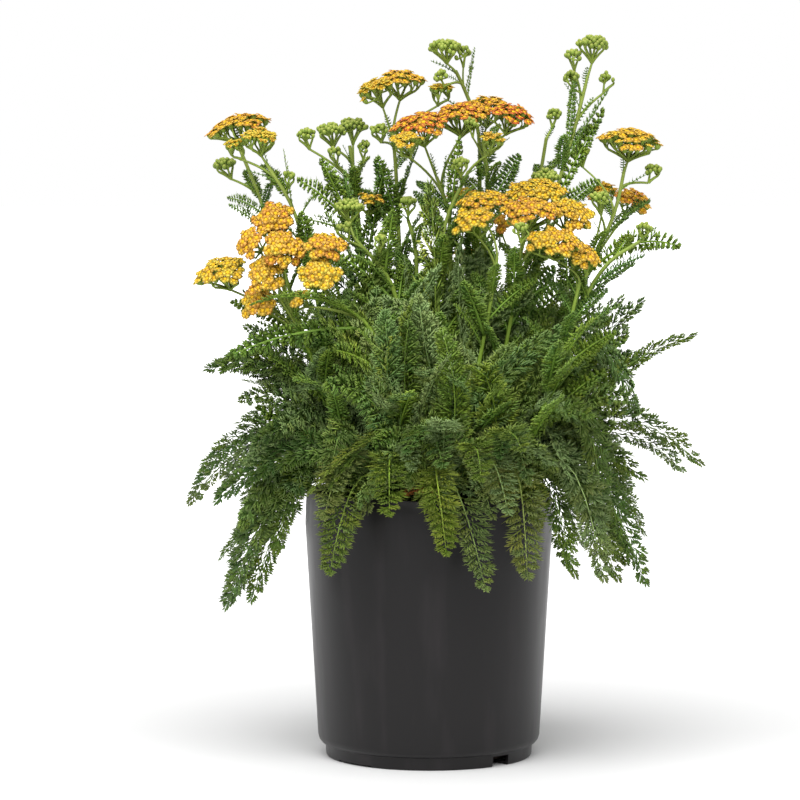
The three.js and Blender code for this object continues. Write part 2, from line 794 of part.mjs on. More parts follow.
const group = new THREE.Group();
group.add(meshOf("pot", potShell().subtract(joined(footNotches())), MATERIALS.pot));
group.add(meshOf("potting_mix", pottingMix(SHOOTS.map(({ foot }) => foot)), MATERIALS.mix));
shoots.forEach(({ solid }, i) => {
  group.add(meshOf(numbered("shoot", i), clearOfBlooms(solid), MATERIALS.green));
});
blooms.forEach(({ solid, kind }, i) => {
  group.add(meshOf(numbered("bloom", i), solid, MATERIALS[kind]));
});

export default group;
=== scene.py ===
"""A yarrow (Achillea) in flower, standing in a one-gallon nursery pot.

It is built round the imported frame, in metres. Sizes are drawn in millimetres, and MM turns those to metres.
X runs to the right, Y away from the front and Z up, from the middle of the pot's underside.
"""

import math

import bpy
import numpy as np
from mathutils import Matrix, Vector


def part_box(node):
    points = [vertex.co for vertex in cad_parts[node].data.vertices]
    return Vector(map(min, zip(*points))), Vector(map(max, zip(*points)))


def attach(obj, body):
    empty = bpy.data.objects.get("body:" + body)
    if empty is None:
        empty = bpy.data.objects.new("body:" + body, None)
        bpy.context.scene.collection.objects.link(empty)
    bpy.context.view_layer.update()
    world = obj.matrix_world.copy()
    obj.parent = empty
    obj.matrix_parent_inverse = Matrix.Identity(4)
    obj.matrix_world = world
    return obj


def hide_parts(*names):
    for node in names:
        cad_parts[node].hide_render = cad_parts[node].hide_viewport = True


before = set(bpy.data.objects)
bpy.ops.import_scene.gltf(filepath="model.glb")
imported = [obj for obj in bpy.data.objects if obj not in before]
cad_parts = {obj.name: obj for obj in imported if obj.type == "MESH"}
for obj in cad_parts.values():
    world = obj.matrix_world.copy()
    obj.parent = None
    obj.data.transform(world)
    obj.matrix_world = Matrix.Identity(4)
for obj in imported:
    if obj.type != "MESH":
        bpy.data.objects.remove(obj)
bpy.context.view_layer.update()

# ---------------------------------------------------------------- camera
# A long lens from 2.4 m away, a little above the top of the pot and looking slightly down.

MM = 0.001
CAMERA_PLACE = Vector((-19.3, -2400, 410)) * MM
CAMERA_AIM = Vector((-19.3, 0, 237.8)) * MM
LENS_LENGTH = 162.4
SENSOR_WIDTH = 36

camera = bpy.data.objects.new("camera", bpy.data.cameras.new("camera"))
camera.data.lens = LENS_LENGTH
camera.data.sensor_width = SENSOR_WIDTH
camera.location = CAMERA_PLACE
camera.rotation_euler = (CAMERA_AIM - CAMERA_PLACE).to_track_quat("-Z", "Y").to_euler()
bpy.context.scene.collection.objects.link(camera)
bpy.context.scene.camera = camera

# ---------------------------------------------------------------- pot
# A thin-walled nursery pot, injection moulded in charcoal polypropylene. It stands on a stepped foot with
# three drain notches and a wide shallow relief, and its lip turns in a little over the last 22 mm.

POT_SIDES = 128
POT_OUTSIDE = [(68, 0), (68.8, 1), (69.3, 7.4), (69.8, 8.4), (71.8, 9.4), (73.4, 11.4), (74.2, 14.2),
               (78.3, 85), (82.6, 156), (82.2, 168), (81.6, 178)]
POT_INSIDE = [(79.8, 178), (80.8, 156), (72.4, 14), (67, 9.8), (66.4, 1.8)]
POT_EDGE_BEVEL = 0.45
BEVELLED_OVER = math.radians(25)
SMOOTH_UNDER = math.radians(32)
NOTCHES = [(-47, 14, 7), (47, 14, 7), (133, 14, 7), (223, 32, 1.3)]  # turn from +X, width and height
NOTCH_MIDDLE = 63.8
NOTCH_REACH = 16


def deselect_all():
    bpy.ops.object.select_all(action="DESELECT")


def drawn_up(name, rings, sides):
    """A round solid drawn up from a disc, ring by ring. Each ring is a radius and a height in millimetres."""
    deselect_all()
    radius, height = rings[0]
    bpy.ops.mesh.primitive_circle_add(vertices=sides, radius=radius * MM, fill_type="NGON")
    piece = bpy.context.object
    piece.name = name
    bpy.ops.object.mode_set(mode="EDIT")
    bpy.ops.mesh.select_all(action="SELECT")
    bpy.ops.transform.translate(value=(0, 0, height * MM))
    for (radius, height), (next_radius, next_height) in zip(rings, rings[1:]):
        step = (0, 0, (next_height - height) * MM)
        bpy.ops.mesh.extrude_region_move(TRANSFORM_OT_translate={"value": step})
        bpy.ops.transform.resize(value=(next_radius / radius, next_radius / radius, 1))
    bpy.ops.mesh.select_all(action="SELECT")
    bpy.ops.mesh.normals_make_consistent(inside=False)
    bpy.ops.object.mode_set(mode="OBJECT")
    return piece


def apply_modifier(piece, kind, **settings):
    modifier = piece.modifiers.new(kind.title(), kind)
    for setting, value in settings.items():
        setattr(modifier, setting, value)
    bpy.context.view_layer.objects.active = piece
    bpy.ops.object.modifier_apply(modifier=modifier.name)


def cut_notch(piece, turn, width, height):
    deselect_all()
    bpy.ops.mesh.primitive_cube_add(size=1)
    cutter = bpy.context.object
    bpy.ops.transform.resize(value=(NOTCH_REACH * MM, width * MM, (height + 1) * MM))
    bpy.ops.transform.translate(value=(NOTCH_MIDDLE * MM, 0, (height - 1) / 2 * MM))
    bpy.ops.object.transform_apply()
    cutter.rotation_euler.z = math.radians(turn)
    apply_modifier(piece, "BOOLEAN", object=cutter, operation="DIFFERENCE", solver="EXACT")
    bpy.data.objects.remove(cutter)


pot = drawn_up("nursery_pot", POT_OUTSIDE + POT_INSIDE, POT_SIDES)
bevel = dict(width=POT_EDGE_BEVEL * MM, segments=2, limit_method="ANGLE", angle_limit=BEVELLED_OVER)
apply_modifier(pot, "BEVEL", **bevel)
for notch in NOTCHES:
    cut_notch(pot, *notch)
deselect_all()
pot.select_set(True)
bpy.ops.object.shade_smooth_by_angle(angle=SMOOTH_UNDER)


def linear(colour):
    """An sRGB hex colour as the linear colour that a socket takes."""
    shares = [int(colour[i : i + 2], 16) / 255 for i in (1, 3, 5)]
    return [c / 12.92 if c <= 0.04045 else ((c + 0.055) / 1.055) ** 2.4 for c in shares] + [1]


def add_node(tree, kind, inputs, **settings):
    """Adds a shader node. inputs gives each socket a value or the output that feeds it."""
    node = tree.nodes.new("ShaderNode" + kind)
    for setting, value in settings.items():
        setattr(node, setting, value)
    for socket, value in inputs.items():
        if isinstance(value, bpy.types.NodeSocket):
            tree.links.new(value, node.inputs[socket])
        else:
            node.inputs[socket].default_value = value
    return node


def new_material(name):
    material = bpy.data.materials.new(name)
    material.use_nodes = True
    material.node_tree.nodes.clear()
    return material, material.node_tree


# Moulded polypropylene, coloured through. Satin, with a faint orange-peel skin, and rubbed here and there by
# other pots, which leaves soft upright smears that are a little paler and rougher than the rest.
def charcoal_polypropylene():
    material, tree = new_material("charcoal_polypropylene")
    place = add_node(tree, "TexCoord", {}).outputs["Object"]
    drawn_out = add_node(tree, "Mapping", {"Vector": place, "Scale": (60, 60, 9)}).outputs[0]
    smears = add_node(tree, "TexNoise", {"Vector": drawn_out, "Scale": 1.0, "Detail": 5.0})
    rubbed = add_node(tree, "MapRange", {"Value": smears.outputs[0], "From Min": 0.5, "From Max": 0.85})
    tones = {0: rubbed.outputs[0], 6: linear("#110f10"), 7: linear("#262224")}
    colour = add_node(tree, "Mix", tones, data_type="RGBA")
    rough = add_node(tree, "MapRange", {"Value": rubbed.outputs[0], "To Min": 0.36, "To Max": 0.55})
    peel = add_node(tree, "TexNoise", {"Vector": place, "Scale": 1400.0, "Detail": 2.0})
    skin = add_node(tree, "Bump", {"Height": peel.outputs[0], "Strength": 0.06, "Distance": 0.0002})
    plastic = add_node(
        tree,
        "BsdfPrincipled",
        {
            "Base Color": colour.outputs[2],
            "Roughness": rough.outputs[0],
            "Normal": skin.outputs[0],
            "IOR": 1.49,
            "Specular IOR Level": 0.34,
        },
    )
    add_node(tree, "OutputMaterial", {"Surface": plastic.outputs[0]})
    return material


pot.data.materials.append(charcoal_polypropylene())
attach(pot, "root")
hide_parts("pot")

# ---------------------------------------------------------------- potting mix
# Composted bark and peat, settled a little under the lip. Chips of bark lie on top in every direction.

SOIL_TOP = 166
SOIL_RADIUS = 79.2
RIM_RADIUS = 81.6
SOIL_RINGS = 16
SOIL_SIDES = 96
CHIP_COUNT = 260
CHIP_SIZES = (4, 11)
CHIP_SHAPE = (1, 0.55, 0.22)
CHIP_WEAR = 0.09
HEAP = 5
CRUMBS = 0.8


def soil_height(x, y):
    """The top of the mix heaps towards the middle and is lumpy."""
    heap = HEAP * (1 - (x**2 + y**2) / RIM_RADIUS**2)
    lumps = np.sin(x * 0.31 + 1.1) * np.cos(y * 0.27) + 0.7 * np.sin(y * 0.53 + x * 0.12)
    return SOIL_TOP - 4 + heap + lumps


def moved_points(piece, move):
    """Moves a piece's points by a function of their places in millimetres."""
    places = np.empty(len(piece.data.vertices) * 3)
    piece.data.vertices.foreach_get("co", places)
    places = move(places.reshape(-1, 3) / MM) * MM
    piece.data.vertices.foreach_set("co", places.ravel())
    piece.data.update()


def crumbly(places):
    """The top of the mix takes its height, with crumbs a few millimetres across."""
    x, y, z = places.T
    crumbs = CRUMBS * np.sin(x * 1.9 + 2 * np.sin(y * 0.8)) * np.sin(y * 2.1 + 2 * np.sin(x * 0.7))
    on_top = z > SOIL_TOP - 1
    places[on_top, 2] = (soil_height(x, y) + crumbs * (np.hypot(x, y) < SOIL_RADIUS - 2))[on_top]
    return places


mix_rings = [(58, 2.2), (65, 10.5), (71, 15), (SOIL_RADIUS, SOIL_TOP - 5), (SOIL_RADIUS, SOIL_TOP)]
inward = [(SOIL_RADIUS * (1 - i / SOIL_RINGS), SOIL_TOP) for i in range(1, SOIL_RINGS)]
potting_mix = drawn_up("bark_mix", mix_rings + inward, SOIL_SIDES)
moved_points(potting_mix, crumbly)
deselect_all()
potting_mix.select_set(True)
bpy.ops.object.shade_smooth()


def shape_of(piece):
    """A modelled shape as its points and triangles. Its object is then taken away."""
    piece.data.calc_loop_triangles()
    points = np.array([v.co for v in piece.data.vertices])
    triangles = np.array([t.vertices for t in piece.data.loop_triangles])
    bpy.data.objects.remove(piece)
    return points, triangles


def bark_chip():
    """One split chip, 1 long: a slab with a worn outline."""
    deselect_all()
    bpy.ops.mesh.primitive_cube_add(size=1)
    chip = bpy.context.object
    bpy.ops.object.mode_set(mode="EDIT")
    bpy.ops.transform.resize(value=CHIP_SHAPE)
    bpy.ops.mesh.bevel(offset=CHIP_WEAR, segments=1)
    bpy.ops.object.mode_set(mode="OBJECT")
    return shape_of(chip)


def copies(shape, origins, sides, fronts, ups):
    """Copies of a shape, one at each origin, with its X, Y and Z along the three arrows given for it."""
    points, triangles = shape
    axes = np.stack([sides, fronts, ups], axis=1)
    placed = origins[:, None, :] + np.einsum("pk,nkc->npc", points, axes)
    firsts = np.arange(len(origins))[:, None, None] * len(points)
    return placed.reshape(-1, 3), (triangles[None] + firsts).reshape(-1, 3)


def unit(vectors):
    return vectors / np.linalg.norm(vectors, axis=-1, keepdims=True)


def scattered_chips(rng):
    """Chips strewn over the mix, each lying nearly flat, with one long side up where it leans on others."""
    reach = (SOIL_RADIUS - 7) * np.sqrt(rng.random(CHIP_COUNT))
    turn = rng.random(CHIP_COUNT) * 2 * np.pi
    x, y = reach * np.cos(turn), reach * np.sin(turn)
    origins = np.stack([x, y, soil_height(x, y) + rng.uniform(0.2, 1.6, CHIP_COUNT)], axis=1)
    along = unit(rng.normal(size=(CHIP_COUNT, 3)) * (1, 1, 0.25))
    up = unit(np.cross(along, rng.normal(size=(CHIP_COUNT, 3)) * (1, 1, 0.3)))
    across = np.cross(up, along)
    size = rng.uniform(*CHIP_SIZES, (CHIP_COUNT, 1))
    width = size * rng.uniform(0.6, 1.1, (CHIP_COUNT, 1))
    return copies(bark_chip(), origins, along * size, across * width, up * size)


def piece_from(name, points, triangles, material, **marks):
    """A piece from points in millimetres, with its points' values of each mark that its material reads."""
    mesh = bpy.data.meshes.new(name)
    mesh.from_pydata((points * MM).tolist(), [], triangles.tolist())
    for mark, values in marks.items():
        mesh.attributes.new(mark, "FLOAT", "POINT").data.foreach_set("value", values.astype(np.float32))
    mesh.shade_smooth()
    mesh.materials.append(material)
    piece = bpy.data.objects.new(name, mesh)
    bpy.context.scene.collection.objects.link(piece)
    return piece


# Composted bark, moist and matt. Nearly black in the hollows and reddish brown on the chips that have dried.
def moist_bark(name, dark, pale):
    material, tree = new_material(name)
    place = add_node(tree, "TexCoord", {}).outputs["Object"]
    grain = add_node(tree, "TexNoise", {"Vector": place, "Scale": 260.0, "Detail": 6.0})
    tones = {0: grain.outputs[0], 6: linear(dark), 7: linear(pale)}
    colour = add_node(tree, "Mix", tones, data_type="RGBA")
    relief = add_node(tree, "Bump", {"Height": grain.outputs[0], "Strength": 0.7, "Distance": 0.0015})
    bark = add_node(
        tree,
        "BsdfPrincipled",
        {"Base Color": colour.outputs[2], "Roughness": 0.85, "Normal": relief.outputs[0]},
    )
    add_node(tree, "OutputMaterial", {"Surface": bark.outputs[0]})
    return material


potting_mix.data.materials.append(moist_bark("composted_bark", "#0e0906", "#3a2416"))
split_bark = moist_bark("split_bark", "#2a160c", "#8a4a26")
bark_chips = piece_from("bark_chips", *scattered_chips(np.random.default_rng(4)), split_bark)
for piece in (potting_mix, bark_chips):
    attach(piece, "root")
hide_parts("potting_mix")
# ---------------------------------------------------------------- yarrow leaf, modelled flat
# A yarrow leaf is cut to the rib twice over: pairs of leaflets stand along the rib, and each leaflet is cut
# into narrow forked lobes about a millimetre wide. Leaflets tip up a little, so that the leaf is feathery.

FLAT_LENGTH = 130  # the leaf that the flat ones are drawn for
FLAT_HALF = 16
LEAN = 0.75  # how far a leaflet's tip runs ahead, as a share of its reach
RIB_SIDES = 5
RIB_RINGS = 9
RIB_TAPER = 0.65
RIB_FLATNESS = 0.8
RIB_MARK = 0.25
TIP_PAINTED_LIGHT = 0.65  # the rib mark at a lobe's tip: painted light, paler at the tip as a painted highlight and darker at the root as painted shade
TIP_LEAFLET = 1.3  # how much longer the leaflet at a leaf's tip is than its neighbours
BLADE_END = 0.965
LEAFLET_REACHES = (0.82, 1.14)
LEAFLET_RISE = 0.25  # how far a leaflet tips up out of the leaf, as a share of its reach to the side
LOBE_WIDEST = 0.52
LEAFLET_RIB_WIDEST = 0.3
FIRST_LOBE = 0.22  # lobes stand from here on along a leaflet, over the next share of it
LOBE_SPAN = 0.6
LOBE_HEADING = 38
FORK_PLACE = 0.25  # where a lobe forks along its length, how much further the fork turns, and its length
FORK_TURN = 1.8
FORK_LENGTH = 0.65


def lobe_blade(widest):
    """One lobe, 1 long and standing up: a narrow keeled blade of four points, widest at the share given."""
    deselect_all()
    bpy.ops.mesh.primitive_cone_add(vertices=3, radius1=1, radius2=0, depth=1)
    lobe = bpy.context.object
    places = [(0, 0, 0), (0.5, 0.18, widest), (-0.5, 0.18, widest), (0, 0, 1)]
    for vertex, place in zip(lobe.data.vertices, places):
        vertex.co = place
    bpy.ops.object.mode_set(mode="EDIT")
    bpy.ops.mesh.select_all(action="SELECT")
    bpy.ops.mesh.normals_make_consistent(inside=False)
    bpy.ops.object.mode_set(mode="OBJECT")
    return shape_of(lobe)


LOBE = lobe_blade(LOBE_WIDEST)
LEAFLET_RIB = lobe_blade(LEAFLET_RIB_WIDEST)


class Growth:
    """Points, triangles and the two marks of green growth, gathered piece by piece.

    The tint runs from 0, deep green, to 1, yellow. The rib mark runs from 0, green, to 1, pale and greyish;
    on leaves it also carries painted light, paler towards the lobes' tips and on a share of lit leaves.
    """

    def __init__(self):
        self.points, self.triangles, self.tints, self.ribs = [], [], [], []
        self.count = 0

    def add(self, shape, tint, rib):
        points, triangles = shape
        self.points.append(points)
        self.triangles.append(triangles + self.count)
        self.tints.append(np.broadcast_to(tint, len(points)))
        self.ribs.append(np.broadcast_to(rib, len(points)))
        self.count += len(points)

    def whole(self):
        return [np.concatenate(part) for part in (self.points, self.triangles, self.tints, self.ribs)]


def leaf_outline(share):
    """How wide a leaf is at a share of its blade: broad about its middle, and blunt at its tip."""
    return np.sin(np.pi * (0.14 + 0.7 * share))


def flat_rib(root_half):
    """The rib of a flat leaf, tapered to its tip."""
    shares = np.linspace(0, 0.97, RIB_RINGS)
    radii = root_half * (1 - RIB_TAPER * shares)
    turns = np.arange(RIB_SIDES) * 2 * np.pi / RIB_SIDES
    ring = np.stack([0 * turns, np.cos(turns), RIB_FLATNESS * np.sin(turns)], axis=1)
    points = shares[:, None, None] * (FLAT_LENGTH, 0, 0) + radii[:, None, None] * ring
    here = np.arange(RIB_SIDES)
    after = (here + 1) % RIB_SIDES
    low_halves = np.stack([here, after, after + RIB_SIDES], 1)
    high_halves = np.stack([here, after + RIB_SIDES, here + RIB_SIDES], 1)
    wall = np.concatenate([low_halves, high_halves])
    walls = [wall + RIB_SIDES * step for step in range(RIB_RINGS - 1)]
    last = RIB_SIDES * (RIB_RINGS - 1)
    spare = range(1, RIB_SIDES - 1)
    ends = [[0, k + 1, k] for k in spare] + [[last, last + k, last + k + 1] for k in spare]
    return points.reshape(-1, 3), np.concatenate(walls + [np.array(ends)])


def leaflet_lobes(reach, stations, spread, rng):
    """The lobes of one leaflet, which lies along X. A row is a start, X and Y, a heading in degrees and a
    length. Lobes stand in pairs along the leaflet, and on a large leaf the outer ones fork."""
    rows = [(0, 0, 0, reach)]
    for k in range(stations):
        share = FIRST_LOBE + LOBE_SPAN * k / stations
        length = reach * (spread * (1 - share) ** 0.6 + 0.08)
        for hand in (1, -1):
            heading = hand * (LOBE_HEADING - 8 * share + rng.uniform(-5, 5))
            start = (share - 0.05 + 0.04 * hand + rng.uniform(-0.03, 0.03)) * reach
            rows.append((start, 0, heading, length))
            if k < stations - 1 and stations > 2:
                slant = math.radians(heading)
                out = FORK_PLACE * length
                place, aside = start + out * math.cos(slant), out * math.sin(slant)
                rows.append((place, aside, heading * FORK_TURN, FORK_LENGTH * length))
    return rows


def flat_leaf(pairs, stations, spread, bare, root_half, lobe_width, seed):
    """A leaf laid flat: X from 0 at the root to 1 at the tip, and Y and Z in half widths.

    The rib is bare for a share of its length. Then come pairs of leaflets, and one more ends the leaf. Each
    leaflet has a number of stations for pairs of lobes, which spread over a share of its reach.
    """
    rng = np.random.default_rng(seed)
    lobes = []
    for i in range(2 * pairs + 1):
        hand = 0 if i == 2 * pairs else 1 if i % 2 else -1
        share = 1 if hand == 0 else (i // 2 + (0.4 if i % 2 else 0.6)) / pairs
        reach = FLAT_HALF * leaf_outline(share) * rng.uniform(*LEAFLET_REACHES) * (1 if hand else TIP_LEAFLET)
        ahead = LEAN + 0.45 * share**2 + rng.uniform(-0.1, 0.1) if hand else 2
        along = unit(np.array([ahead, hand, LEAFLET_RISE + rng.uniform(-0.14, 0.18)]))
        roll = hand * rng.uniform(-0.1, 0.45)
        level = unit(np.cross((0, 0, 1), along))
        face = math.cos(roll) * np.cross(along, level) + math.sin(roll) * level
        across = np.cross(face, along)
        start = np.array([FLAT_LENGTH * (bare + (BLADE_END - bare) * share), 0, 0])
        leaflet_tint = rng.normal(0, 0.09)
        for place, aside, heading, length in leaflet_lobes(reach, stations, spread, rng):
            turn = math.radians(heading)
            raised = rng.uniform(-0.18, 0.25) * face
            run = unit(math.cos(turn) * along + math.sin(turn) * across + raised)
            side = unit(np.cross(run, face))
            width = lobe_width * rng.uniform(0.85, 1.1)
            origin = start + along * place + across * aside
            tint = leaflet_tint + rng.normal(0, 0.04)
            keel = np.cross(run, side) * width
            lobes.append((heading == 0, tint, origin, side * width, keel, run * length))
    leaf = Growth()
    leaf.add(flat_rib(root_half), 0, RIB_MARK)
    for is_rib, blade in ((True, LEAFLET_RIB), (False, LOBE)):
        rows = [row[1:] for row in lobes if row[0] == is_rib]
        tints, *axes = (np.array(column) for column in zip(*rows))
        # Painted light: each lobe's rib mark rises from its root to its tip, so the tip is paler, as a
        # painted highlight, and the root darker, as painted shade.
        marks = np.tile(TIP_PAINTED_LIGHT * blade[0][:, 2], len(rows))
        leaf.add(copies(blade, *axes), np.repeat(tints, len(blade[0])), marks)
    points, triangles, tints, ribs = leaf.whole()
    return points / (FLAT_LENGTH, FLAT_HALF, FLAT_HALF), triangles, tints, ribs


# Basal leaves are large and finely cut, stem leaves smaller and coarser, and bracts hardly more than teeth.
BASAL_CUT = dict(stations=4, spread=0.56, bare=0.12, root_half=0.62, lobe_width=1.4)
STEM_CUT = dict(stations=2, spread=0.5, bare=0.03, root_half=1.7, lobe_width=3.9)
BRACT_CUT = dict(stations=1, spread=0.4, bare=0.03, root_half=2.0, lobe_width=5.0)
BASAL_LEAVES = [flat_leaf(pairs, seed=seed, **BASAL_CUT) for seed, pairs in enumerate([17, 16, 18, 17])]
STEM_LEAVES = [flat_leaf(pairs, seed=seed, **STEM_CUT) for seed, pairs in enumerate([15, 14, 16], 10)]
BRACTS = [flat_leaf(8, seed=seed, **BRACT_CUT) for seed in (20, 21)]

# ---------------------------------------------------------------- how a leaf is held
# Each leaf springs from a crown or a stem, arches under its own weight, and rolls its upper face to the front
# where it stands in front of the plant, and to the back behind it.

ROLL = 0.75
ROLL_TURNS_AT = 40  # the Y past which leaves face back
RIB_STEPS = 33


def turned(vectors, axes, angle):
    """Vectors turned about unit axes by an angle."""
    along = (vectors * axes).sum(-1, keepdims=True) * axes
    aside = np.cross(axes, vectors)
    return vectors * math.cos(angle) + aside * math.sin(angle) + along * (1 - math.cos(angle))


def rib_points(root, tip, lift, shares):
    """Points and headings of a rib that is drawn up over its middle by the lift."""
    middle = (root + tip) / 2 + np.array([0, 0, lift])
    t = shares[:, None]
    points = (1 - t) ** 2 * root + 2 * t * (1 - t) * middle + t**2 * tip
    return points, unit((1 - t) * (middle - root) + t * (tip - middle))


def held_leaf(flat, root, tip, lift, half_width, twist=0.0, bow=0.0):
    """A flat leaf bent along its rib, and bowed to one side by a share of its length."""
    points, triangles, tints, ribs = flat
    steps = np.linspace(0, 1, RIB_STEPS)
    run, _ = rib_points(root, tip, lift, steps)
    length = np.concatenate([[0], np.cumsum(np.linalg.norm(np.diff(run, axis=0), axis=1))])
    shares = np.interp(np.clip(points[:, 0], 0, 1) * length[-1], length, steps)
    middles, forward = rib_points(root, tip, lift, shares)
    beyond = np.maximum(points[:, :1] - 1, 0) * length[-1]
    outward = unit((tip - root)[:2] + 1e-6)
    roll = ROLL * outward[0] * (1 if tip[1] < ROLL_TURNS_AT else -1) + twist
    level = turned(np.broadcast_to([-outward[1], outward[0], 0.0], forward.shape), forward, roll)
    up = np.cross(forward, level)
    across = points[:, 1:2] * half_width + bow * length[-1] * np.sin(np.pi * shares[:, None])
    raised = points[:, 2:3] * half_width
    return (middles + forward * beyond + level * across + up * raised, triangles), tints, ribs


# ---------------------------------------------------------------- what grows where
# Seventeen shoots stand in the mix. Each is one crown with a tuft of leaves, and sends up one or two leafy
# flower stems. A head is a flat-topped cluster, yellow or orange when it is open and green in bud.


def head(kind, at, half, tilt, start=None, warmth=0.0, size=1.0):
    """A head: its middle, its half lengths across and back, its tilts towards the front and towards +X, and
    the share of its stem at which its branch leaves. Warmth is how far its rays have turned to coral, and
    size is how far its florets have opened."""
    return dict(kind=kind, at=at, half=half, tilt=tilt, start=start, warmth=warmth, size=size)


def yellow(at, half, tilt, start=None, warmth=0.12, size=1.0):
    return head("yellow", at, half, tilt, start, warmth, size)


def orange(at, half, tilt, start=None, warmth=0.5, size=1.0):
    return head("orange", at, half, tilt, start, warmth, size)


def buds(at, radius, start=None, tilt=(8, 0)):
    return head("bud", at, (radius, radius * 0.85), tilt, start)


def frond(tip, lift, half_width):
    """A leaf from the crown: its tip, how far its rib is drawn up, and its half width."""
    return tip, lift, half_width


def leaf_at(share, tip, lift, half_width):
    """A leaf on a stem, at a share of the stem's length."""
    return share, tip, lift, half_width


def shoot(foot, *fronds):
    """Starts a shoot: where its crown stands in the mix, and its leaves. The stems after it are its own."""
    shoots.append(dict(foot=foot, fronds=fronds, stems=[]))


def stem(line, *heads, leaves=()):
    """A stem of the last shoot: the points it runs through after its foot, its heads and its leaves."""
    shoots[-1]["stems"].append(dict(line=line, heads=heads, leaves=leaves))


shoots = []

shoot(
    [-48, 6], frond([-158, -10, 171], 85, 15), frond([-140, 0, 262], 40, 14),
    frond([-121, 12, 285], 35, 14), frond([-152, -8, 187], 92, 11), frond([-136, -6, 258], 88, 12),
)
stem(
    [[-112, 18, 369], [-127, 23, 406]],
    yellow([-127, 25, 423], [21, 16], [3, -12], warmth=0.4), buds([-137, 17, 395], 7.5, 0.85, [8, -15]),
    leaves=[leaf_at(0.8, [-134, 12, 372], 6, 7)],
)
stem(
    [[-89, -8, 362], [-107, -8, 394]],
    yellow([-111, -10, 413], [12, 11], [15, 5], warmth=0.0, size=0.6),
    yellow([-130, 0, 407], [6.5, 6], [10, -20], warmth=0.05, size=0.7), buds([-93, 0, 387], 4, 0.9),
    leaves=[leaf_at(0.86, [-96, -14, 404], -2, 4), leaf_at(0.6, [-84, -28, 362], 4, 9)],
)

shoot(
    [-41, -30], frond([-133, -40, 105], 107, 18), frond([-123, -30, 240], 50, 15),
    frond([-68, -95, 169], 75, 15), frond([-116, -44, 112], 110, 14), frond([-130, -34, 108], 104, 16),
    frond([-100, -52, 142], 92, 13), frond([-52, -16, 322], 10, 12),
)
stem(
    [[-75, -30, 262], [-92, -28, 300]],
    yellow([-102, -32, 359], [14, 12.5], [55, -5], warmth=0.42),
    yellow([-95, -50, 341], [13, 12], [62, 10], warmth=0.38),
    yellow([-117, -38, 345], [10, 10.5], [55, -30], warmth=0.4),
    orange([-108, -48, 323], [11.5, 12.5], [60, -12], warmth=0.32),
    orange([-113, -38, 305], [11.5, 10], [65, -20], warmth=0.32),
    yellow([-137, -25, 326], [17.5, 14], [32, -14], 0.82),
    leaves=[leaf_at(0.55, [-88, -62, 255], 10, 9), leaf_at(0.85, [-130, -20, 304], 8, 9)],
)

shoot(
    [-22, -44], frond([-64, -105, 135], 72, 17), frond([-26, -122, 174], 65, 16),
    frond([-18, -100, 245], 45, 15),
)
stem(
    [[-38, -50, 287], [-64, -50, 306]],
    yellow([-67, -60, 342], [13.5, 10], [50, 10], warmth=0.42),
    yellow([-72, -68, 324], [14.5, 10.5], [60, 0]), yellow([-84, -45, 307], [6.5, 5.5], [60, -10], 0.8),
    leaves=[
        leaf_at(0.8, [-130, -60, 271], 12, 11), leaf_at(0.6, [-62, -84, 276], 6, 10),
        leaf_at(0.9, [-114, -96, 306], 16, 9),
    ],
)

shoot(
    [-30, 25], frond([-64, 34, 335], 12, 14), frond([-92, 52, 296], 35, 15), frond([-112, 62, 232], 60, 15),
)
stem(
    [[-49, 24, 376], [-53, 22, 407]],
    buds([-82, 20, 415], 6.5, 0.86), buds([-66, 20, 418], 10, 0.94), buds([-51, 30, 421], 10),
    buds([-63, 12, 403], 4.5, 0.88), buds([-43, 30, 407], 4.5, 0.88),
    orange([-40, 8, 372], [8.5, 6.5], [20, 0], 0.68, warmth=0.25),
    leaves=[
        leaf_at(0.75, [-87, 14, 384], 8, 11), leaf_at(0.6, [-68, -6, 362], 8, 11),
        leaf_at(0.9, [-40, 14, 399], 3, 8), leaf_at(0.74, [-85, 10, 358], 6, 9),
        leaf_at(0.72, [-71, 4, 397], 2, 11), leaf_at(0.6, [-56, 0, 388], 0, 11),
        leaf_at(0.64, [-30, 8, 392], 2, 9),
    ],
)

shoot([-7, -26], frond([1, -40, 377], 0, 17), frond([-14, -76, 292], 25, 15))
stem(
    [[-19, -28, 294], [-28, -32, 322], [-48, -36, 345]],
    buds([-53, -30, 368], 9.5, 0.99, [15, 0]), buds([-55, -47, 354], 5.5), buds([-32, -42, 346], 4.5, 0.9),
    leaves=[leaf_at(0.72, [-60, -10, 334], 8, 11), leaf_at(0.85, [-24, -42, 364], 4, 9)],
)

shoot([-13, 8], frond([-34, -10, 340], 5, 15))
stem(
    [[-22, 26, 388], [-24, 20, 415]],
    orange([-17, 20, 453], [14.5, 12], [14, 8], warmth=0.35),
    yellow([-36, 10, 446], [12.5, 11], [14, -22], warmth=0.05, size=0.85), buds([-33, 2, 418], 6, 0.95),
    yellow([8, 32, 445], [8, 6.5], [5, 0], 0.95, warmth=0.05, size=0.7),
    leaves=[
        leaf_at(0.75, [-34, 2, 398], 2, 9), leaf_at(0.8, [-7, 14, 407], 4, 8),
        leaf_at(0.68, [-38, 6, 372], 4, 9),
    ],
)
stem([[-9, -8, 338], [-14, -14, 358]], buds([-14, -20, 370], 6))

shoot([7, -4], frond([36, -12, 322], 15, 15))
stem(
    [[13, 4, 361], [5, 2, 386]],
    orange([-7, -15, 423], [19.5, 14.5], [18, -12], warmth=0.72),
    orange([21, 3, 430], [19, 15], [17, -5], warmth=0.66), yellow([-15, -37, 411], [11, 9.5], [22, -5]),
    leaves=[
        leaf_at(0.75, [-6, 18, 372], 4, 9), leaf_at(0.85, [20, -8, 412], 3, 8),
        leaf_at(0.6, [27, -6, 374], 4, 9),
    ],
)

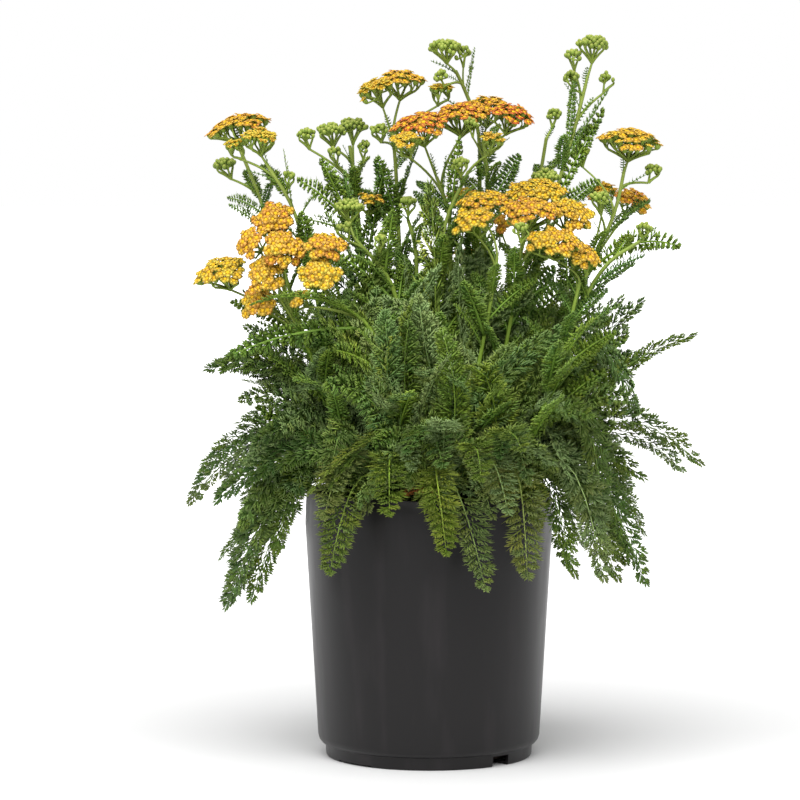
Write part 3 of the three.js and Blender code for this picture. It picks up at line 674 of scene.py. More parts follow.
shoot(
    [18, 27], frond([10, 62, 330], 12, 15), frond([44, 66, 290], 30, 15), frond([26, 44, 350], 8, 13),
    frond([50, 52, 346], 10, 13),
)
stem(
    [[34, 42, 412], [27, 40, 438], [18, 31, 457]],
    buds([11, 28, 474], 11), buds([23, 32, 470], 5.5), buds([8, 24, 454], 5.5, 0.96),
    leaves=[leaf_at(0.93, [31, 36, 472], 2, 3.5)],
)
stem(
    [[39, 16, 382], [36, 14, 410]],
    yellow([39, 20, 435], [16.5, 13], [14, 0], warmth=0.4),
    orange([56, 4, 429], [15, 13], [17, 15], warmth=0.82), buds([28, -10, 422], 5),
    leaves=[leaf_at(0.8, [60, 20, 400], 2, 9)],
)

shoot(
    [7, -64], frond([7, -112, 227], 42, 15), frond([35, -117, 126], 78, 15), frond([10, -130, 150], 75, 15),
    frond([8, -92, 288], 12, 14),
)
stem(
    [[10, -10, 352], [26, -13, 390]],
    yellow([41, -26, 412], [8, 7.5], [15, 0], size=0.8), buds([21, -24, 396], 6),
    orange([22, 18, 375], [9, 8], [15, -10], 0.74, warmth=0.3),
)

shoot(
    [30, -26], frond([49, -122, 176], 62, 15), frond([58, -118, 214], 50, 15),
    frond([52, -78, 278], 30, 15), frond([62, -12, 322], 12, 12),
)
stem(
    [[57, -26, 313], [61, -25, 342]],
    orange([72, -10, 378], [19.5, 15], [30, 5], warmth=0.15),
    orange([65, -46, 366], [19.5, 13.5], [32, 0], warmth=0.42),
    orange([95, -30, 364], [15, 13], [32, 18], warmth=0.2),
    orange([47, -8, 355], [6, 6], [50, -10], 0.8, warmth=0.4), buds([59, -72, 354], 5.5),
    leaves=[
        leaf_at(0.75, [88, -40, 318], 8, 10), leaf_at(0.7, [82, -10, 326], 5, 9),
        leaf_at(0.8, [55, -54, 340], 2, 8),
    ],
)

shoot([12, -46], frond([32, -127, 196], 55, 14))
stem(
    [[40, -44, 306], [44, -45, 334]],
    orange([35, -30, 371], [19, 13], [26, -8], warmth=0.3),
    orange([29, -56, 360], [13.5, 10.5], [32, -10], warmth=0.15),
    leaves=[leaf_at(0.7, [22, -66, 318], 6, 10)],
)

shoot(
    [39, 26], frond([74, 40, 334], 12, 13), frond([143, 34, 301], 30, 14), frond([128, 2, 304], 25, 13),
    frond([146, 56, 262], 45, 14), frond([96, 62, 300], 25, 15),
)
stem([[75, 32, 386], [79, 28, 412]], buds([84, 35, 428], 5.5), buds([78, 10, 387], 9, 0.82, [20, 0]))
stem(
    [[84, 22, 371], [97, 24, 416], [105, 24, 448]],
    buds([110, 25, 476], 11), buds([97, 25, 468], 6), buds([95, 18, 453], 6, 0.97),
    buds([119, 30, 452], 5.5, 0.9),
    leaves=[
        leaf_at(0.84, [97, 14, 451], 0, 4), leaf_at(0.8, [119, 18, 443], 4, 4.5),
        leaf_at(0.7, [116, 20, 430], 4, 7),
    ],
)

shoot(
    [57, -4], frond([176, 8, 280], 32, 9), frond([178, -26, 198], 80, 13), frond([152, 26, 222], 62, 14),
    frond([132, -52, 241], 45, 14), frond([144, 16, 147], 92, 15), frond([118, -14, 298], 22, 14),
    frond([132, 20, 284], 28, 14), frond([140, 30, 266], 46, 14), frond([166, -30, 194], 66, 12),
)
stem(
    [[99, 5, 306], [124, 8, 363], [130, 8, 390]],
    yellow([134, 8, 413], [20, 17], [6, 4], warmth=0.25), buds([149, 5, 391], 6),
    yellow([117, 45, 377], [10.5, 9.5], [18, -10], 0.64, warmth=0.3),
    orange([138, 35, 372], [13.5, 11.5], [25, 20], 0.68, warmth=0.5), buds([113, -6, 373], 6.5, 0.8),
    buds([102, 28, 403], 6, 0.86),
    leaves=[leaf_at(0.7, [164, -20, 341], 20, 10), leaf_at(0.55, [92, 30, 342], 6, 10)],
)
stem([[100, -36, 303], [118, -34, 331], [138, -28, 344]], buds([141, -26, 353], 5))

shoot(
    [46, -42], frond([141, -50, 122], 102, 15), frond([112, -80, 128], 98, 15),
    frond([122, -62, 126], 98, 14), frond([62, -108, 134], 85, 16), frond([104, -72, 232], 50, 15),
)
stem(
    [[85, -45, 267], [98, -46, 318]],
    orange([82, -60, 346], [17.5, 12.5], [42, 12], warmth=0.25),
    orange([100, -50, 337], [12.5, 10.5], [42, 25], warmth=0.3),
    leaves=[leaf_at(0.65, [108, -66, 296], 6, 10)],
)

shoot(
    [2, 54], frond([-22, 148, 168], 78, 16), frond([16, 138, 236], 52, 16), frond([-12, 108, 292], 30, 15),
    frond([28, 142, 112], 98, 15),
)
stem([[14, 66, 292], [26, 70, 312]], orange([30, 74, 332], [12, 10], [-25, 5]))

shoot(
    [-46, 42], frond([-138, 62, 176], 78, 16), frond([-82, 128, 190], 72, 16),
    frond([-58, 134, 116], 98, 15), frond([-88, 96, 276], 38, 15),
)
stem([[-60, 62, 300], [-66, 68, 322]], buds([-68, 70, 334], 8, 0.99, [-20, 0]))

shoot(
    [46, 50], frond([138, 72, 170], 80, 16), frond([84, 128, 182], 76, 16), frond([74, 118, 256], 42, 15),
    frond([96, 112, 116], 98, 15),
)
stem([[62, 70, 298], [70, 74, 318]], yellow([74, 76, 332], [10, 8], [-25, 5]))

# ---------------------------------------------------------------- stems and branches
# Stems are grooved and a little downy, pale green, and nearly 4 mm thick at the foot. Near the top they fork
# into branches, which curve up to their heads.

CROWN_TOP = 177
STEM_RADII = (1.9, 1.25)
BRANCH_RADII = (1.05, 0.75)
STEM_STEPS = 26
BRANCH_STEPS = 8
BRANCH_BEND = 0.35  # how far a branch keeps its stem's heading, as a share of its reach
GROOVES = 5
GROOVE_RADIUS = 0.84  # the section's radius in a groove, next to 1 on its ridges


def stem_path(foot, line):
    """A centripetal Catmull-Rom curve from the foot through the line's points."""
    knots = np.array([(*foot, SOIL_TOP - 3), *line], float)
    knots = np.concatenate([[2 * knots[0] - knots[1]], knots, [2 * knots[-1] - knots[-2]]])
    spans = np.sqrt(np.linalg.norm(np.diff(knots, axis=0), axis=1))
    runs = []
    for i in range(1, len(knots) - 2):
        before, here, after = spans[i - 1 : i + 2]
        p0, p1, p2, p3 = knots[i - 1 : i + 3]
        start = here * ((p1 - p0) / before - (p2 - p0) / (before + here) + (p2 - p1) / here)
        end = here * ((p2 - p1) / here - (p3 - p1) / (here + after) + (p3 - p2) / after)
        t = np.linspace(0, 1, STEM_STEPS)[:, None]
        runs.append(
            (2 * t**3 - 3 * t**2 + 1) * p1
            + (t**3 - 2 * t**2 + t) * start
            + (3 * t**2 - 2 * t**3) * p2
            + (t**3 - t**2) * end
        )
    dense = np.concatenate([run[: None if run is runs[-1] else -1] for run in runs])
    return spaced(dense, STEM_STEPS)


def spaced(path, count):
    """The same path with its points evenly spaced."""
    length = np.concatenate([[0], np.cumsum(np.linalg.norm(np.diff(path, axis=0), axis=1))])
    wanted = np.linspace(0, length[-1], count)
    return np.stack([np.interp(wanted, length, path[:, k]) for k in range(3)], axis=1)


def along_path(path, share):
    """The point and the heading at a share of a path whose points are evenly spaced."""
    where = share * (len(path) - 1)
    i = min(int(where), len(path) - 2)
    return path[i] + (path[i + 1] - path[i]) * (where - i), unit(path[i + 1] - path[i])


def branch_path(start, heading, end, steps):
    """A branch that leaves along its stem's heading and bends round to its end."""
    reach = np.linalg.norm(end - start)
    bend = start + heading * reach * BRANCH_BEND
    t = np.linspace(0, 1, steps)[:, None]
    return (1 - t) ** 2 * start + 2 * t * (1 - t) * bend + t**2 * end


def groove_section():
    """A stem's section: a closed curve with shallow grooves."""
    curve = bpy.data.curves.new("stem_section", "CURVE")
    spline = curve.splines.new("POLY")
    spline.points.add(2 * GROOVES - 1)
    for k, place in enumerate(spline.points):
        turn = math.pi * k / GROOVES
        radius = 1.0 if k % 2 else GROOVE_RADIUS
        place.co = (radius * math.cos(turn), radius * math.sin(turn), 0, 1)
    spline.use_cyclic_u = True
    section = bpy.data.objects.new("stem_section", curve)
    bpy.context.scene.collection.objects.link(section)
    return section


def rods(paths, section=None):
    """Round or grooved rods along paths. Each path is its points and the radii at its ends."""
    curve = bpy.data.curves.new("rods", "CURVE")
    curve.dimensions = "3D"
    curve.use_fill_caps = True
    curve.resolution_u = 1
    if section is None:
        curve.bevel_depth = 1
        curve.bevel_resolution = 0
    else:
        curve.bevel_mode = "OBJECT"
        curve.bevel_object = section
    for points, (thick, thin) in paths:
        spline = curve.splines.new("POLY")
        spline.points.add(len(points) - 1)
        spline.points.foreach_set("co", np.column_stack([points, np.ones(len(points))]).ravel())
        spline.points.foreach_set("radius", np.linspace(thick, thin, len(points)))
    deselect_all()
    rod = bpy.data.objects.new("rods", curve)
    bpy.context.scene.collection.objects.link(rod)
    rod.select_set(True)
    bpy.context.view_layer.objects.active = rod
    bpy.ops.object.convert(target="MESH")
    return shape_of(bpy.context.object)


STEM_SECTION = groove_section()

# ---------------------------------------------------------------- heads
# A head is a domed, branching cluster of small flowers that all reach one surface. Each flower is a green cup
# with a golden middle and five short, blunt, notched rays. A bud is the closed cup, paler at its top.

FLORET_SPACING = 5.0
BUD_SPACING = 2.7
CLUSTER_SPACING = 10.5
BUD_CLUSTER_SPACING = 8
FORK_DEPTH = 6
BUD_FORK_DEPTH = 2.4
HUB_DEPTH = 15
RAGGED = 0.09  # how far a head's edge waves in and out, as a share of its half length
DOME_LEAST = 1.5  # how high a head's dome is, and how much it rises with the head's half lengths
DOME_RISE = 0.15
HUMP_TOP = 1.2  # a small cluster is humped, and falls away from its own middle down to its foot
HUMP_FOOT = -1.8
FLORET_HUMP = 0.05
BUD_HUMP = 0.09
UNEVENNESS = 0.3
SPLAY = 0.028  # how fast flowers turn outwards from the middle of their head
FORKS_GATHER = 0.75
FORK_RADII = (1.05, 0.8)
STALK_RADII = (0.65, 0.6)
FLORET_STALK_END = 3.9  # how far below its top a flower or a bud meets its stalk
BUD_STALK_END = 1.5
BUD_SIZES = (0.9, 1.15)
RAY_COUNT = 5
RAY_OUTLINE = [(0.7, -0.6), (2.3, -1.9), (3.65, -1.55), (3.4, 0), (3.65, 1.55), (2.3, 1.9), (0.7, 0.6)]
RAY_KEEL = (1.6, 0, -0.35)
RAY_ARCH = 0.35
RAY_FALL = 0.06


def drawn_up_shape(rings, sides):
    return shape_of(drawn_up("cup", [(radius / MM, height / MM) for radius, height in rings], sides))


def flower_ray():
    """One ray, lying along X from the middle's edge: a blunt blade that arches and has a keel under it."""
    deselect_all()
    bpy.ops.mesh.primitive_circle_add(vertices=len(RAY_OUTLINE), fill_type="NGON")
    ray = bpy.context.object
    for vertex, (out, aside) in zip(ray.data.vertices, RAY_OUTLINE):
        vertex.co = (out, aside, RAY_ARCH * math.sin(out) - RAY_FALL * out)
    bpy.ops.object.mode_set(mode="EDIT")
    bpy.ops.mesh.select_all(action="SELECT")
    bpy.ops.mesh.extrude_region_move(TRANSFORM_OT_translate={"value": (0, 0, -1)})
    bpy.ops.mesh.merge(type="CENTER")
    bpy.ops.object.mode_set(mode="OBJECT")
    for vertex in ray.data.vertices:
        if vertex.co.z < -0.5:
            vertex.co = RAY_KEEL
    bpy.ops.object.mode_set(mode="EDIT")
    bpy.ops.mesh.select_all(action="SELECT")
    bpy.ops.mesh.normals_make_consistent(inside=False)
    bpy.ops.object.mode_set(mode="OBJECT")
    return shape_of(ray)


CUP = drawn_up_shape([(0.8, -4.4), (1.9, -3.0), (2.1, -1.0), (1.6, 0)], 5)
DISC = drawn_up_shape([(1.4, -0.1), (1.2, 0.3), (0.5, 0.55)], 6)
RAY = flower_ray()
BUD = drawn_up_shape([(0.7, -1.7), (1.35, -0.6), (1.35, 0.5), (0.65, 1.4)], 6)


def head_axes(tilt):
    """A head's own directions: across, back and up."""
    front, right = map(math.radians, tilt)
    up = np.array([math.sin(right), -math.sin(front) * math.cos(right), math.cos(front) * math.cos(right)])
    across = unit(np.array([1.0, 0, 0]) - up * up[0])
    return across, np.cross(up, across), up


def lattice(half, spacing, rng, ragged):
    """Places inside an oval in a six-sided lattice, each one moved a little, with a ragged edge."""
    rows = range(-9, 10)
    spots = np.array([((c + (r % 2) / 2) * spacing, r * spacing * 0.87) for r in rows for c in rows])
    spots += rng.normal(0, spacing * 0.09, spots.shape) + rng.uniform(-0.5, 0.5, 2) * spacing
    turn = np.arctan2(spots[:, 1], spots[:, 0])
    edge = 1 + ragged * np.sin(3 * turn + rng.uniform(0, 6))
    edge += 0.6 * ragged * np.sin(7 * turn + rng.uniform(0, 6))
    return spots[np.hypot(spots[:, 0] / half[0], spots[:, 1] / half[1]) < edge]


def head_layout(one, rng):
    """Where a head's flowers stand: their tops, their own directions, and the forks that carry them."""
    half = np.maximum(np.array(one["half"]) - 0.3, 1.5)
    across, back, up = head_axes(one["tilt"])
    bud = one["kind"] == "bud"
    spots = lattice(half, BUD_SPACING if bud else FLORET_SPACING * one["size"], rng, RAGGED)
    if not len(spots):
        spots = np.zeros((1, 2))
    clusters = lattice(half + 2, BUD_CLUSTER_SPACING if bud else CLUSTER_SPACING, rng, 0)
    if not len(clusters):
        clusters = np.zeros((1, 2))
    nearest = np.linalg.norm(spots[:, None] - clusters[None], axis=2).argmin(1)
    own = clusters[nearest]
    dome = DOME_LEAST + DOME_RISE * sum(one["half"])
    out = np.hypot(spots[:, 0] / half[0], spots[:, 1] / half[1])
    hump = HUMP_TOP - (BUD_HUMP if bud else FLORET_HUMP) * ((spots - own) ** 2).sum(1)
    uneven = rng.normal(0, UNEVENNESS, len(spots))
    height = dome * (1 - out**2) - dome / 2 + np.maximum(hump, HUMP_FOOT) + uneven + 0.6
    spots = spots + (own - spots) * 0.06
    flat = spots[:, :1] * across + spots[:, 1:] * back
    tops = np.array(one["at"], float) + flat + height[:, None] * up
    ups = unit(up + flat * SPLAY + rng.normal(0, 0.12, flat.shape))
    spread = own[:, :1] * across + own[:, 1:] * back
    depth = BUD_FORK_DEPTH if bud else FORK_DEPTH
    forks = np.array(one["at"], float) + spread * FORKS_GATHER - up * (depth + dome / 2)
    return tops, ups, forks, up


def turned_axes(ups, rng):
    """Three directions at right angles for each flower, turned at random about its own up."""
    sides = unit(np.cross(ups, rng.normal(size=ups.shape)))
    return sides, np.cross(ups, sides), ups


def hub_of(one, start, up):
    """Where a head's branches gather, which lies under it towards its stem."""
    depth = min(HUB_DEPTH, 4.5 + 0.6 * one["half"][0])
    under = np.array(one["at"], float) - up * depth
    reach = np.linalg.norm(start - under)
    return under + (start - under) * min(0.15, 3 / max(reach, 1))


# ---------------------------------------------------------------- growing the shoots
# The leaves, stems and heads of the rows above are grown first. Between them come the younger and smaller
# leaves that fill the plant: more leaves from each crown, and small ones up each stem and under each branch.

CROWN_RADII = (4.2, 2.2)
CROWN_MARKS = (0.6, 0.75)  # a part's tint and rib mark
STEM_TINT = 0.42
STEM_RIB_MARKS = (0.0, 0.7)  # stems are greener low in the plant and paler above, over these heights
SHADED_HEIGHTS = (230, 370)
BRANCH_MARKS = (0.42, 0.6)
STALK_MARKS = (0.45, 0.5)
CUP_MARKS = (0.45, 0.4)
FROND_TINT = 0.25
LOW_HEIGHT = 190  # crown leaves with their tips below this and in front of the next are the oldest
LOW_FRONT = -85
OLD_TINTS = (0.04, 0.38)
BRIGHTNESS = (-0.07, 0.2)  # how pale a crown leaf is, and how much paler a random share of them is painted, as painted light on lit leaves
LIT_BRIGHTNESS = 0.42
LIT_SHARE = 0.37
SMALL_LEAF_TINT = 0.28
FILL_LEAVES = 12
FILL_HALF_WIDTHS = (11.5, 15.5)
FILL_TURN = 0.618  # each leaf turns on by the golden share, so that no two lie over one another
MIDDLE_CROWN = 30  # a crown nearer the axis than this has leaves all round, and the others over this turn
OUTER_SPREAD = 1.25
IN_FRONT = -60  # leaves that would hang in front of the pot's middle end at these heights instead
MIDDLE_HALF = 90
FRONT_TIP_HEIGHTS = (155, 208)
# How far out and how high the tips reach, and the lift: trailing, arching, spreading and upright leaves.
FILL_HABITS = [((0.82, 1.0), (128, 190), 88), ((0.5, 0.85), (250, 310), 36),
               ((0.74, 0.98), (195, 265), 58), ((0.12, 0.5), (280, 345), 12)]
FULLNESS = 1.28  # leaflets reach this much further out than the solids' blades
PLANT_REACH = (150, 116)  # how far leaf tips come from the pot's axis, sideways, and forwards or back
RIM_CLEARANCE = 9
HIGHEST_LIFT = 130
LIFT_STEP = 6
STEM_LEAF_SHARES = (0.2, 0.31, 0.41, 0.5, 0.58, 0.66, 0.74, 0.81, 0.88)
STEM_LEAF_LENGTH = 86  # at the foot, less the next at the top
STEM_LEAF_SHORTENS = 66
STEM_LEAF_TURN = 2.2
STEM_LEAF_OUT = 0.66
STEM_LEAF_UP = 0.68
STEM_LEAF_BOUNDS = (-95, 110)  # the Y between which their tips stay
FIRST_BRANCH = 0.99  # the share of a stem at which its first branch leaves, and how far on down the others
BRANCH_APART = 0.045
BUD_MARKS = ((0.4, 0.42), (0.18, 0.48))  # green at the foot of a bud, and how much is added at its top
BRACT_LENGTH = 18


def fill_frond(foot, k, rng):
    """One more leaf for a crown, of each habit in turn, spread round the way the crown leans."""
    reach = math.hypot(*foot)
    lean = math.atan2(foot[1], foot[0])
    spread = math.pi * (2 if reach < MIDDLE_CROWN else OUTER_SPREAD)
    turn = lean + spread * ((k * FILL_TURN + 0.13) % 1 - 0.5) + rng.uniform(-0.2, 0.2)
    edge = 1 / math.hypot(math.cos(turn) / PLANT_REACH[0], math.sin(turn) / PLANT_REACH[1])
    habits = [(rng.uniform(*outs), rng.uniform(*heights), lift) for outs, heights, lift in FILL_HABITS]
    out, height, lift = habits[k % len(FILL_HABITS)]
    tip = np.array([edge * out * math.cos(turn), edge * out * math.sin(turn), height])
    if tip[1] < IN_FRONT and abs(tip[0]) < MIDDLE_HALF:
        tip[2] = max(height, rng.uniform(*FRONT_TIP_HEIGHTS))
    return tip, lift, rng.uniform(*FILL_HALF_WIDTHS)


def cleared_lift(root, tip, lift):
    """The lift that carries a rib over the pot's lip with room to spare."""
    shares = np.linspace(0, 1, RIB_STEPS)
    while lift < HIGHEST_LIFT:
        points, _ = rib_points(root, tip, lift, shares)
        out = np.hypot(points[:, 0], points[:, 1])
        near = (out > RIM_RADIUS - 12) & (out < RIM_RADIUS + 3)
        if not near.any() or points[near, 2].min() > pot_top + RIM_CLEARANCE:
            break
        lift += LIFT_STEP
    return lift


pot_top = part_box("pot")[1].z / MM


def frond_tint(tip, rng):
    """The leaves that trail low in front are old and more or less yellow. The others vary about one green."""
    low_in_front = tip[2] < LOW_HEIGHT and tip[1] < LOW_FRONT
    old = rng.uniform(*OLD_TINTS) if low_in_front else 0.0
    return float(np.clip(FROND_TINT + old + rng.normal(0, 0.1), 0, 1))


def grow_fronds(growth, foot, fronds, rng):
    rows = [(np.array(tip, float), lift, half) for tip, lift, half in fronds]
    fill = [fill_frond(foot, k, rng) for k in range(FILL_LEAVES)]
    for k, (tip, lift, half) in enumerate(rows + fill):
        outward = unit((tip - (*foot, 0))[:2] + 1e-6)
        root = np.array([*(np.array(foot) + 1.8 * outward), CROWN_TOP - 2 - 0.8 * k])
        own = k < len(rows)
        lift = lift if own else cleared_lift(root, tip, lift)
        flat = BASAL_LEAVES[rng.integers(len(BASAL_LEAVES))]
        twist, bow = rng.normal(0, 0.12 if own else 0.5), rng.normal(0, 0.045 if own else 0.07)
        # Painted light: a random share of the crown leaves is painted paler and cooler, as painted highlights
        # on leaves in the light.
        tone_and_painted_light = rng.uniform(*BRIGHTNESS) + (LIT_BRIGHTNESS if rng.uniform() < LIT_SHARE else 0)
        shape, tints, ribs = held_leaf(flat, root, tip, lift, half * FULLNESS, twist, bow)
        growth.add(shape, np.clip(frond_tint(tip, rng) - 0.5 * tone_and_painted_light + tints, 0, 1), ribs + tone_and_painted_light)


def grow_small_leaf(growth, masters, root, tip, lift, half, rng):
    flat = masters[rng.integers(len(masters))]
    shape, tints, ribs = held_leaf(flat, root, tip, lift, half * FULLNESS, rng.normal(0, 0.3))
    growth.add(shape, np.clip(SMALL_LEAF_TINT + rng.normal(0, 0.08) + tints, 0, 1), ribs * 0.7)


def grow_stem(growth, path, leaves, rng):
    """A stem and its leaves: those of its row, and more up its length, each about a third of a turn on."""
    points, triangles = rods([(path, STEM_RADII)], STEM_SECTION)
    growth.add((points, triangles), STEM_TINT, np.interp(points[:, 2], SHADED_HEIGHTS, STEM_RIB_MARKS))
    for share, tip, lift, half in leaves:
        root, _ = along_path(path, share)
        grow_small_leaf(growth, STEM_LEAVES, root, np.array(tip, float), lift, half, rng)
    turn = rng.uniform(0, 6)
    for share in STEM_LEAF_SHARES:
        root, heading = along_path(path, share + rng.uniform(-0.03, 0.03))
        turn += STEM_LEAF_TURN + rng.uniform(-0.4, 0.4)
        length = STEM_LEAF_LENGTH - STEM_LEAF_SHORTENS * share + rng.uniform(-6, 6)
        outward = np.array([math.cos(turn), math.sin(turn), 0])
        tip = root + outward * length * STEM_LEAF_OUT + heading * length * STEM_LEAF_UP
        tip[1] = np.clip(tip[1], *STEM_LEAF_BOUNDS)
        grow_small_leaf(growth, STEM_LEAVES, root, tip, length * 0.14, 0.1 * length + 3.0, rng)


def grow_head(growth, blooms, one, path, order, rng):
    """A head on its branch: the branch and its bract, forks, stalks, and cups or buds."""
    start, heading = along_path(path, one["start"] or FIRST_BRANCH - BRANCH_APART * order)
    tops, ups, forks, up = head_layout(one, rng)
    hub = hub_of(one, start, up)
    bud = one["kind"] == "bud"
    branch = branch_path(start, heading, hub, BRANCH_STEPS)
    growth.add(rods([(branch, BRANCH_RADII)]), *BRANCH_MARKS)
    stalks = []
    for fork in np.unique(forks.round(3), axis=0):
        stalks.append((branch_path(hub, unit(fork - hub + up * 4), fork, 4), FORK_RADII))
    below = tops - ups * (BUD_STALK_END if bud else FLORET_STALK_END * one["size"])
    for foot, end in zip(forks, below):
        stalks.append((branch_path(foot, unit(foot - hub), end, 3), STALK_RADII))
    growth.add(rods(stalks), *STALK_MARKS)
    sides, backs, ups = turned_axes(ups, rng)
    if bud:
        size = rng.uniform(*BUD_SIZES, (len(tops), 1))
        pale = np.tile(np.clip((BUD[0][:, 2] - 0.2) / 1.2, 0, 1), len(tops))
        closed = copies(BUD, tops, sides * size, backs * size, ups * size)
        (tint, rib), (tint_rise, rib_rise) = BUD_MARKS
        growth.add(closed, tint + tint_rise * pale, rib + rib_rise * pale)
    else:
        size = one["size"]
        growth.add(copies(CUP, tops, sides * size, backs * size, ups * size), *CUP_MARKS)
        blooms[one["kind"]].append((one, tops, sides, backs, ups))
    bract = start + unit(hub - start + np.array([0, 0, 2.0])) * BRACT_LENGTH + rng.normal(0, 4, 3)
    grow_small_leaf(growth, BRACTS, start, bract, 2, 3.2, rng)


def grow_shoot(row, blooms, rng):
    """All of a shoot that is green. What its open flowers need to be made later is added to blooms."""
    growth = Growth()
    foot = row["foot"]
    crown = np.array([(*foot, SOIL_TOP - 4), (*foot, CROWN_TOP - 3), (*foot, CROWN_TOP)], float)
    growth.add(rods([(crown, CROWN_RADII)]), *CROWN_MARKS)
    grow_fronds(growth, foot, row["fronds"], rng)
    for its_stem in row["stems"]:
        path = stem_path(foot, its_stem["line"])
        grow_stem(growth, path, its_stem["leaves"], rng)
        for order, one in enumerate(its_stem["heads"]):
            grow_head(growth, blooms, one, path, order, rng)
    return growth.whole()


# Yarrow leaf, matt with fine down. Deep green to fresh green, and yellow with age. Ribs and stems are paler
# and greyer. The lobes are painted paler at their tips, as a painted highlight, and darker at their roots, as
# painted shade, and a share of the leaves is painted paler and cooler all over, as painted light. Some light
# comes through the blade.
def yarrow_green():
    material, tree = new_material("yarrow_green")
    tint = add_node(tree, "Attribute", {}, attribute_name="tint").outputs["Fac"]
    rib = add_node(tree, "Attribute", {}, attribute_name="rib").outputs["Fac"]
    place = add_node(tree, "TexCoord", {}).outputs["Object"]
    patches = add_node(tree, "TexNoise", {"Vector": place, "Scale": 45.0, "Detail": 4.0}).outputs[0]
    young = add_node(tree, "MapRange", {"Value": tint, "From Min": 0.0, "From Max": 0.5}).outputs[0]
    aged = add_node(tree, "MapRange", {"Value": tint, "From Min": 0.5, "From Max": 1.0}).outputs[0]
    tones = []
    for cool, mid, old in (("#3e6e24", "#76962a", "#acbc38"), ("#8ca468", "#8e9448", "#ccc86c")):
        fresh = add_node(tree, "Mix", {0: young, 6: linear(cool), 7: linear(mid)}, data_type="RGBA")
        tone_inputs = {0: aged, 6: fresh.outputs[2], 7: linear(old)}
        tones.append(add_node(tree, "Mix", tone_inputs, data_type="RGBA").outputs[2])
    # The rib mark pales ribs and stems, and also carries the painted highlights and painted shade of the
    # lobes and of lit leaves.
    ribbed = add_node(tree, "Mix", {0: rib, 6: tones[0], 7: tones[1]}, data_type="RGBA").outputs[2]
    shade = add_node(tree, "MapRange", {"Value": patches, "To Min": 0.5, "To Max": 1.75}).outputs[0]
    colour = add_node(tree, "HueSaturation", {"Color": ribbed, "Value": shade}).outputs[0]
    blade = add_node(
        tree,
        "BsdfPrincipled",
        {"Base Color": colour, "Roughness": 0.5, "Specular IOR Level": 0.2},
    )
    lit_through = add_node(tree, "BsdfTranslucent", {"Color": colour})
    surface = add_node(tree, "MixShader", {0: 0.14, 1: blade.outputs[0], 2: lit_through.outputs[0]})
    add_node(tree, "OutputMaterial", {"Surface": surface.outputs[0]})
    return material


green = yarrow_green()
blooms = {"yellow": [], "orange": []}
for number, row in enumerate(shoots, 1):
    node = f"shoot_{number:02d}"
    points, triangles, tints, ribs = grow_shoot(row, blooms, np.random.default_rng(100 + number))
    piece = piece_from(f"{node}_growth", points, triangles, green, tint=tints, rib=ribs)
    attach(piece, "root")
    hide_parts(node)
bpy.data.objects.remove(STEM_SECTION)

# ---------------------------------------------------------------- withered leaves
# Old leaves dry to a rusty brown and shrink where they lie, on the mix and over the pot's lip. They are the
# same leaves as the stems', only small and bowed.

WITHERED = [((6, -74, 180), (-16, -86, 182), 9, 9.5), ((36, -66, 171), (52, -58, 172), 3, 4.5),
            ((-52, -46, 171), (-66, -34, 172), 3, 4), ((-20, 62, 171), (-4, 71, 172), 3, 4.5)]
WITHERED_TWIST = 0.4


# Dried leaf, brittle and matt, in blotches of rust and straw brown.
def withered_leaf():
    material, tree = new_material("withered_leaf")
    place = add_node(tree, "TexCoord", {}).outputs["Object"]
    blotches = add_node(tree, "TexNoise", {"Vector": place, "Scale": 220.0, "Detail": 3.0})
    colour = add_node(
        tree,
        "Mix",
        {0: blotches.outputs[0], 6: linear("#6a3c14"), 7: linear("#c07a30")},
        data_type="RGBA",
    )
    dry = add_node(tree, "BsdfPrincipled", {"Base Color": colour.outputs[2], "Roughness": 0.8})
    add_node(tree, "OutputMaterial", {"Surface": dry.outputs[0]})
    return material


litter = Growth()
for k, (root, tip, lift, half) in enumerate(WITHERED):
    flat = STEM_LEAVES[k % len(STEM_LEAVES)]
    shape, _, _ = held_leaf(flat, np.array(root), np.array(tip), lift, half, WITHERED_TWIST)
    litter.add(shape, 0, 0)
withered = piece_from("withered_leaves", *litter.whole()[:2], withered_leaf())
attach(withered, "root")

# ---------------------------------------------------------------- open flowers
# Each open flower has a golden middle with five short, blunt rays round it, which open yellow and turn
# through peach to coral. The flowers are grouped by colour and by side, and a head's own stay together.

SIDES = {"left": (-1000, -60), "middle": (-60, 62), "right": (62, 1000)}
FLOWER_SIZES = (0.9, 1.12)
RAY_WIDTHS = (0.85, 1.05)
RAY_DROOPS = (-0.2, 0.3)
WARMTH_SPREAD = 0.13
RAY_FADE = (0.7, 1.5)  # where the middle's gold starts to give way along a ray, and over what length


